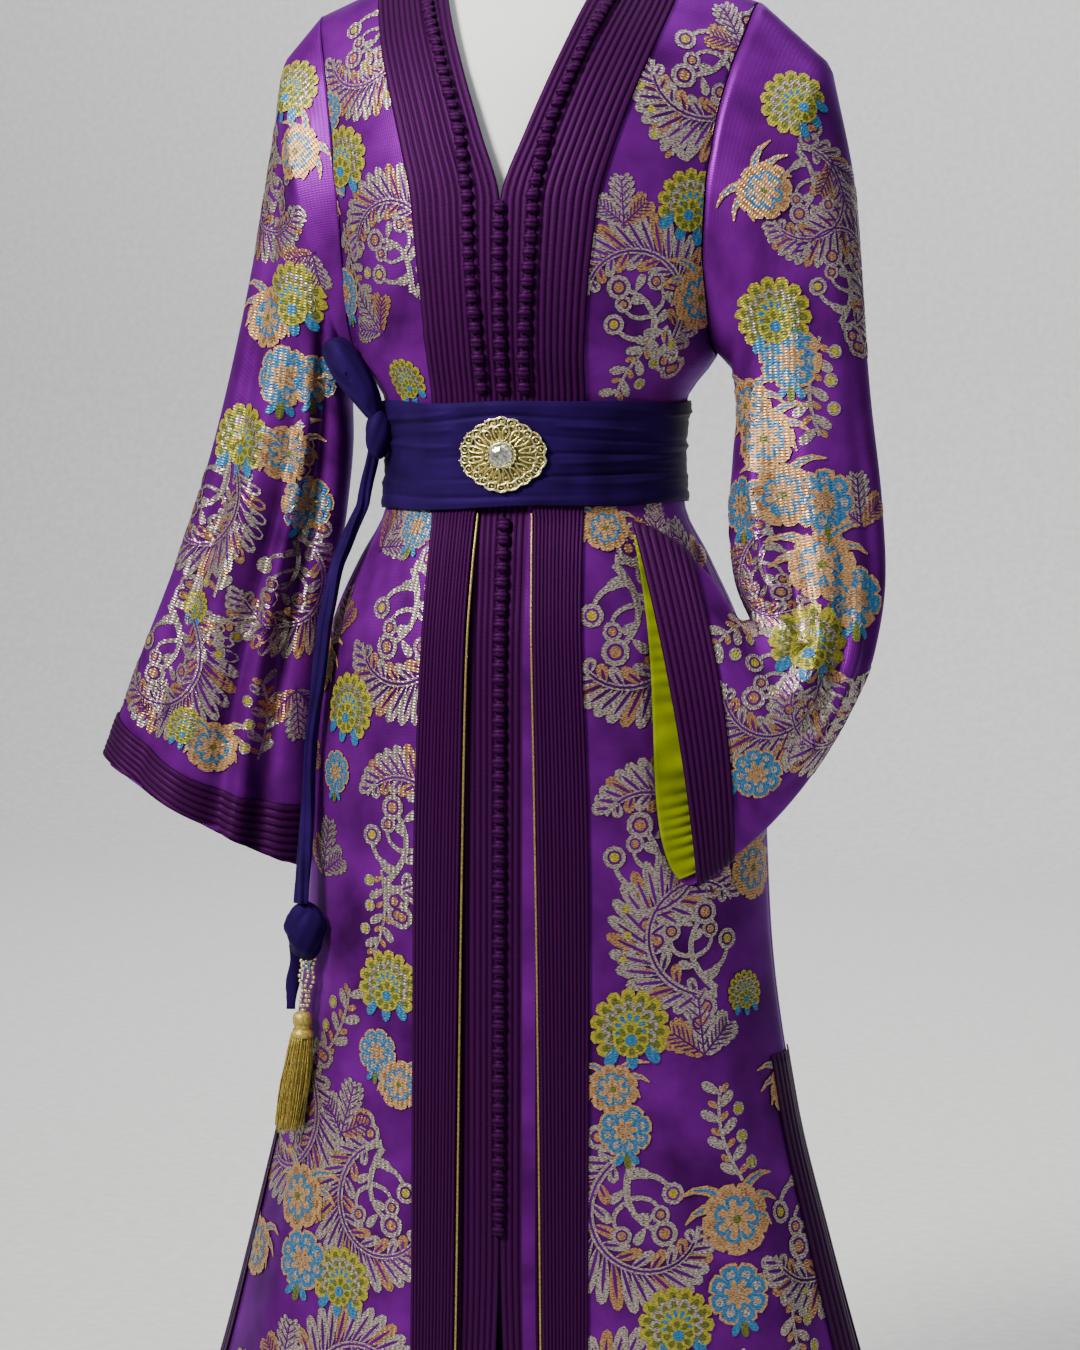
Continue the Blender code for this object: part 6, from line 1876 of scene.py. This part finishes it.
def makeStand():
    thick, pole, low, edge = form["baseThick"], form["poleRadius"], form["bottom"], form["baseRadius"]
    base = turnedPart("enamel_base", [
        (thick + 0.012, pole + 0.0035), (thick + 0.0115, pole + 0.008), (thick + 0.010, pole + 0.0098),
        (thick + 0.003, pole + 0.013), (thick + 0.0005, pole + 0.020), (thick - 0.0008, pole + 0.040),
        (thick - 0.0028, edge - 0.010), (thick - 0.0042, edge - 0.0030),
        (thick - 0.0072, edge - 0.0004), (0.0012, edge - 0.0004),
        (0.0, edge - 0.0014)], (0, 0))
    rod = turnedPart("enamel_pole", [
        (low - 0.0003, pole + 0.0090), (low - 0.0012, pole + 0.0098), (low - 0.011, pole + 0.0098),
        (low - 0.012, pole + 0.0088), (low - 0.0125, pole), (thick + 0.0123, pole)], (0, 0), 40)
    cap = turnedPart("enamel_cap", [
        (1.5818, 0.003), (1.5808, 0.008), (1.5782, 0.0122), (1.5740, 0.0147), (1.5700, 0.0148),
        (1.5660, 0.0130), (1.5625, 0.0102), (1.5604, 0.0110), (1.5592, 0.020), (1.5580, 0.044),
        (1.5565, 0.0492), (1.5535, 0.0522), (1.5500, 0.0528), (1.5462, 0.0524), (1.5455, 0.0515)],
        (0, form["neckY"]))
    place(base, "stand_paint", "stand_base")
    place(rod, "stand_paint", "stand_pole")
    place(cap, "stand_paint", "form_neck_cap")


makeForm()
makeStand()
print("form and stand made")


def declareCut():
    # the flat size of each piece of cloth and what is sewn or hung on it, handed to declareSheet, which keeps
    # none of it
    hangers = [tailKnot, beads, tassel]
    declareSheet(fronts[-1], 0.42, 1.56, [motifs[0]])
    declareSheet(fronts[1], 0.42, 1.56, [motifs[1]])
    declareSheet(bands[-1], 0.066, 1.60, [knots[0], piping[0]])
    declareSheet(bands[1], 0.066, 1.60, [knots[1], knots[2], piping[1]])
    declareSheet(plackets[-1], 0.064, 1.03)
    declareSheet(plackets[1], 0.064, 1.03, [knots[3]])
    for (side, front), piece in slitBands.items():
        declareSheet(piece, 0.034, 0.50)
    declareSheet(back, 0.96, 1.60, motifs[2:4])
    declareSheet(neckBand, 0.064, 0.43, [knots[4]])
    declareSheet(sleevePieces["sleeve_right"], 0.66, 0.66, [motifs[4]])
    declareSheet(sleevePieces["sleeve_left"], 0.62, 0.86, [motifs[5]])
    declareSheet(cuffs["sleeve_right"], 0.62, 0.05)
    declareSheet(cuffs["sleeve_left"], 0.66, 0.10)
    declareSheet(lining, 0.26, 0.13)
    declareSheet(sashPiece, 0.095, 0.80,
                 [*buckleParts, stone, tie])
    declareSheet(loopPiece, 0.026, 0.22)
    declareSheet(tailPiece, 0.026, 0.42, hangers)


# the camera stands where the photograph was taken from: a little to the wearer's left, at waist height
view = {"azimuth": 15, "distance": 3.0, "eye": 1.08, "aside": 0.0045, "middle": 0.832, "seen": 1.215}


def makeCamera():
    turn = math.radians(view["azimuth"])
    aside = Vector((math.cos(turn), math.sin(turn), 0)) * view["aside"]
    target = aside + Vector((0, 0, view["middle"]))
    away = Vector((math.sin(turn), -math.cos(turn), 0)) * view["distance"]
    eye = away + aside + Vector((0, 0, view["eye"]))
    camera = bpy.data.cameras.new("camera")
    camera.sensor_fit = "VERTICAL"
    camera.sensor_height = 36
    camera.lens = 36 * (target - eye).length / view["seen"]
    holder = bpy.data.objects.new("camera", camera)
    bpy.context.scene.collection.objects.link(holder)
    holder.location = eye
    holder.rotation_euler = (target - eye).to_track_quat("-Z", "Y").to_euler()
    bpy.context.scene.camera = holder


def makeStage():
    plaster = objectNoise("matt white paint on board", "DCDDDC", "E6E7E6", 0.9, 0.0, 60, 0.0001)
    verts = []
    reach, bend = 4.4, 1.2
    profile = [(-6.0, 0.0), (reach, 0.0)]
    profile += [(reach + bend * math.sin(a), bend - bend * math.cos(a))
                for a in np.linspace(0.15, math.pi / 2, 12)]
    profile += [(5.6, 7.0)]
    for y, z in profile:
        verts += [(-8, y, z), (8, y, z)]
    backdrop = addPiece("backdrop", verts, gridFaces(len(profile), 2), plaster)


def makeLights():
    # size, power, spread in degrees, place, what it looks at, colour
    for name, size, power, spread, spot, aim, tone in (
        ("key", 1.1, 49, 75, (-1.7, -2.4, 2.9), (0, 0, 1.25), "FFF8F2"),
        ("fill", 2.2, 6, 140, (2.4, -2.0, 1.4), (0, 0, 1.0), "F4F0FF"),
        ("top", 1.6, 12, 120, (0.4, -0.3, 3.2), (0, 0, 1.2), "FFFFFF"),
        ("rear", 3.5, 215, 180, (-0.9, 2.4, 4.2), (-0.9, 5.6, 1.0), "FFFFFF"),
    ):
        lamp = bpy.data.lights.new(name, "AREA")
        lamp.size = size
        lamp.energy = power
        lamp.spread = math.radians(spread)
        lamp.color = linear(tone)[:3]
        holder = bpy.data.objects.new(name, lamp)
        bpy.context.scene.collection.objects.link(holder)
        holder.location = spot
        holder.rotation_euler = (Vector(aim) - Vector(spot)).to_track_quat("-Z", "Y").to_euler()
    world = bpy.data.worlds.new("studio")
    world.use_nodes = True
    world.node_tree.nodes["Background"].inputs["Color"].default_value = linear("F2F4F6")
    world.node_tree.nodes["Background"].inputs["Strength"].default_value = 0.22
    bpy.context.scene.world = world


makeCamera()
makeStage()
makeLights()

declareCut()
print("stage set")
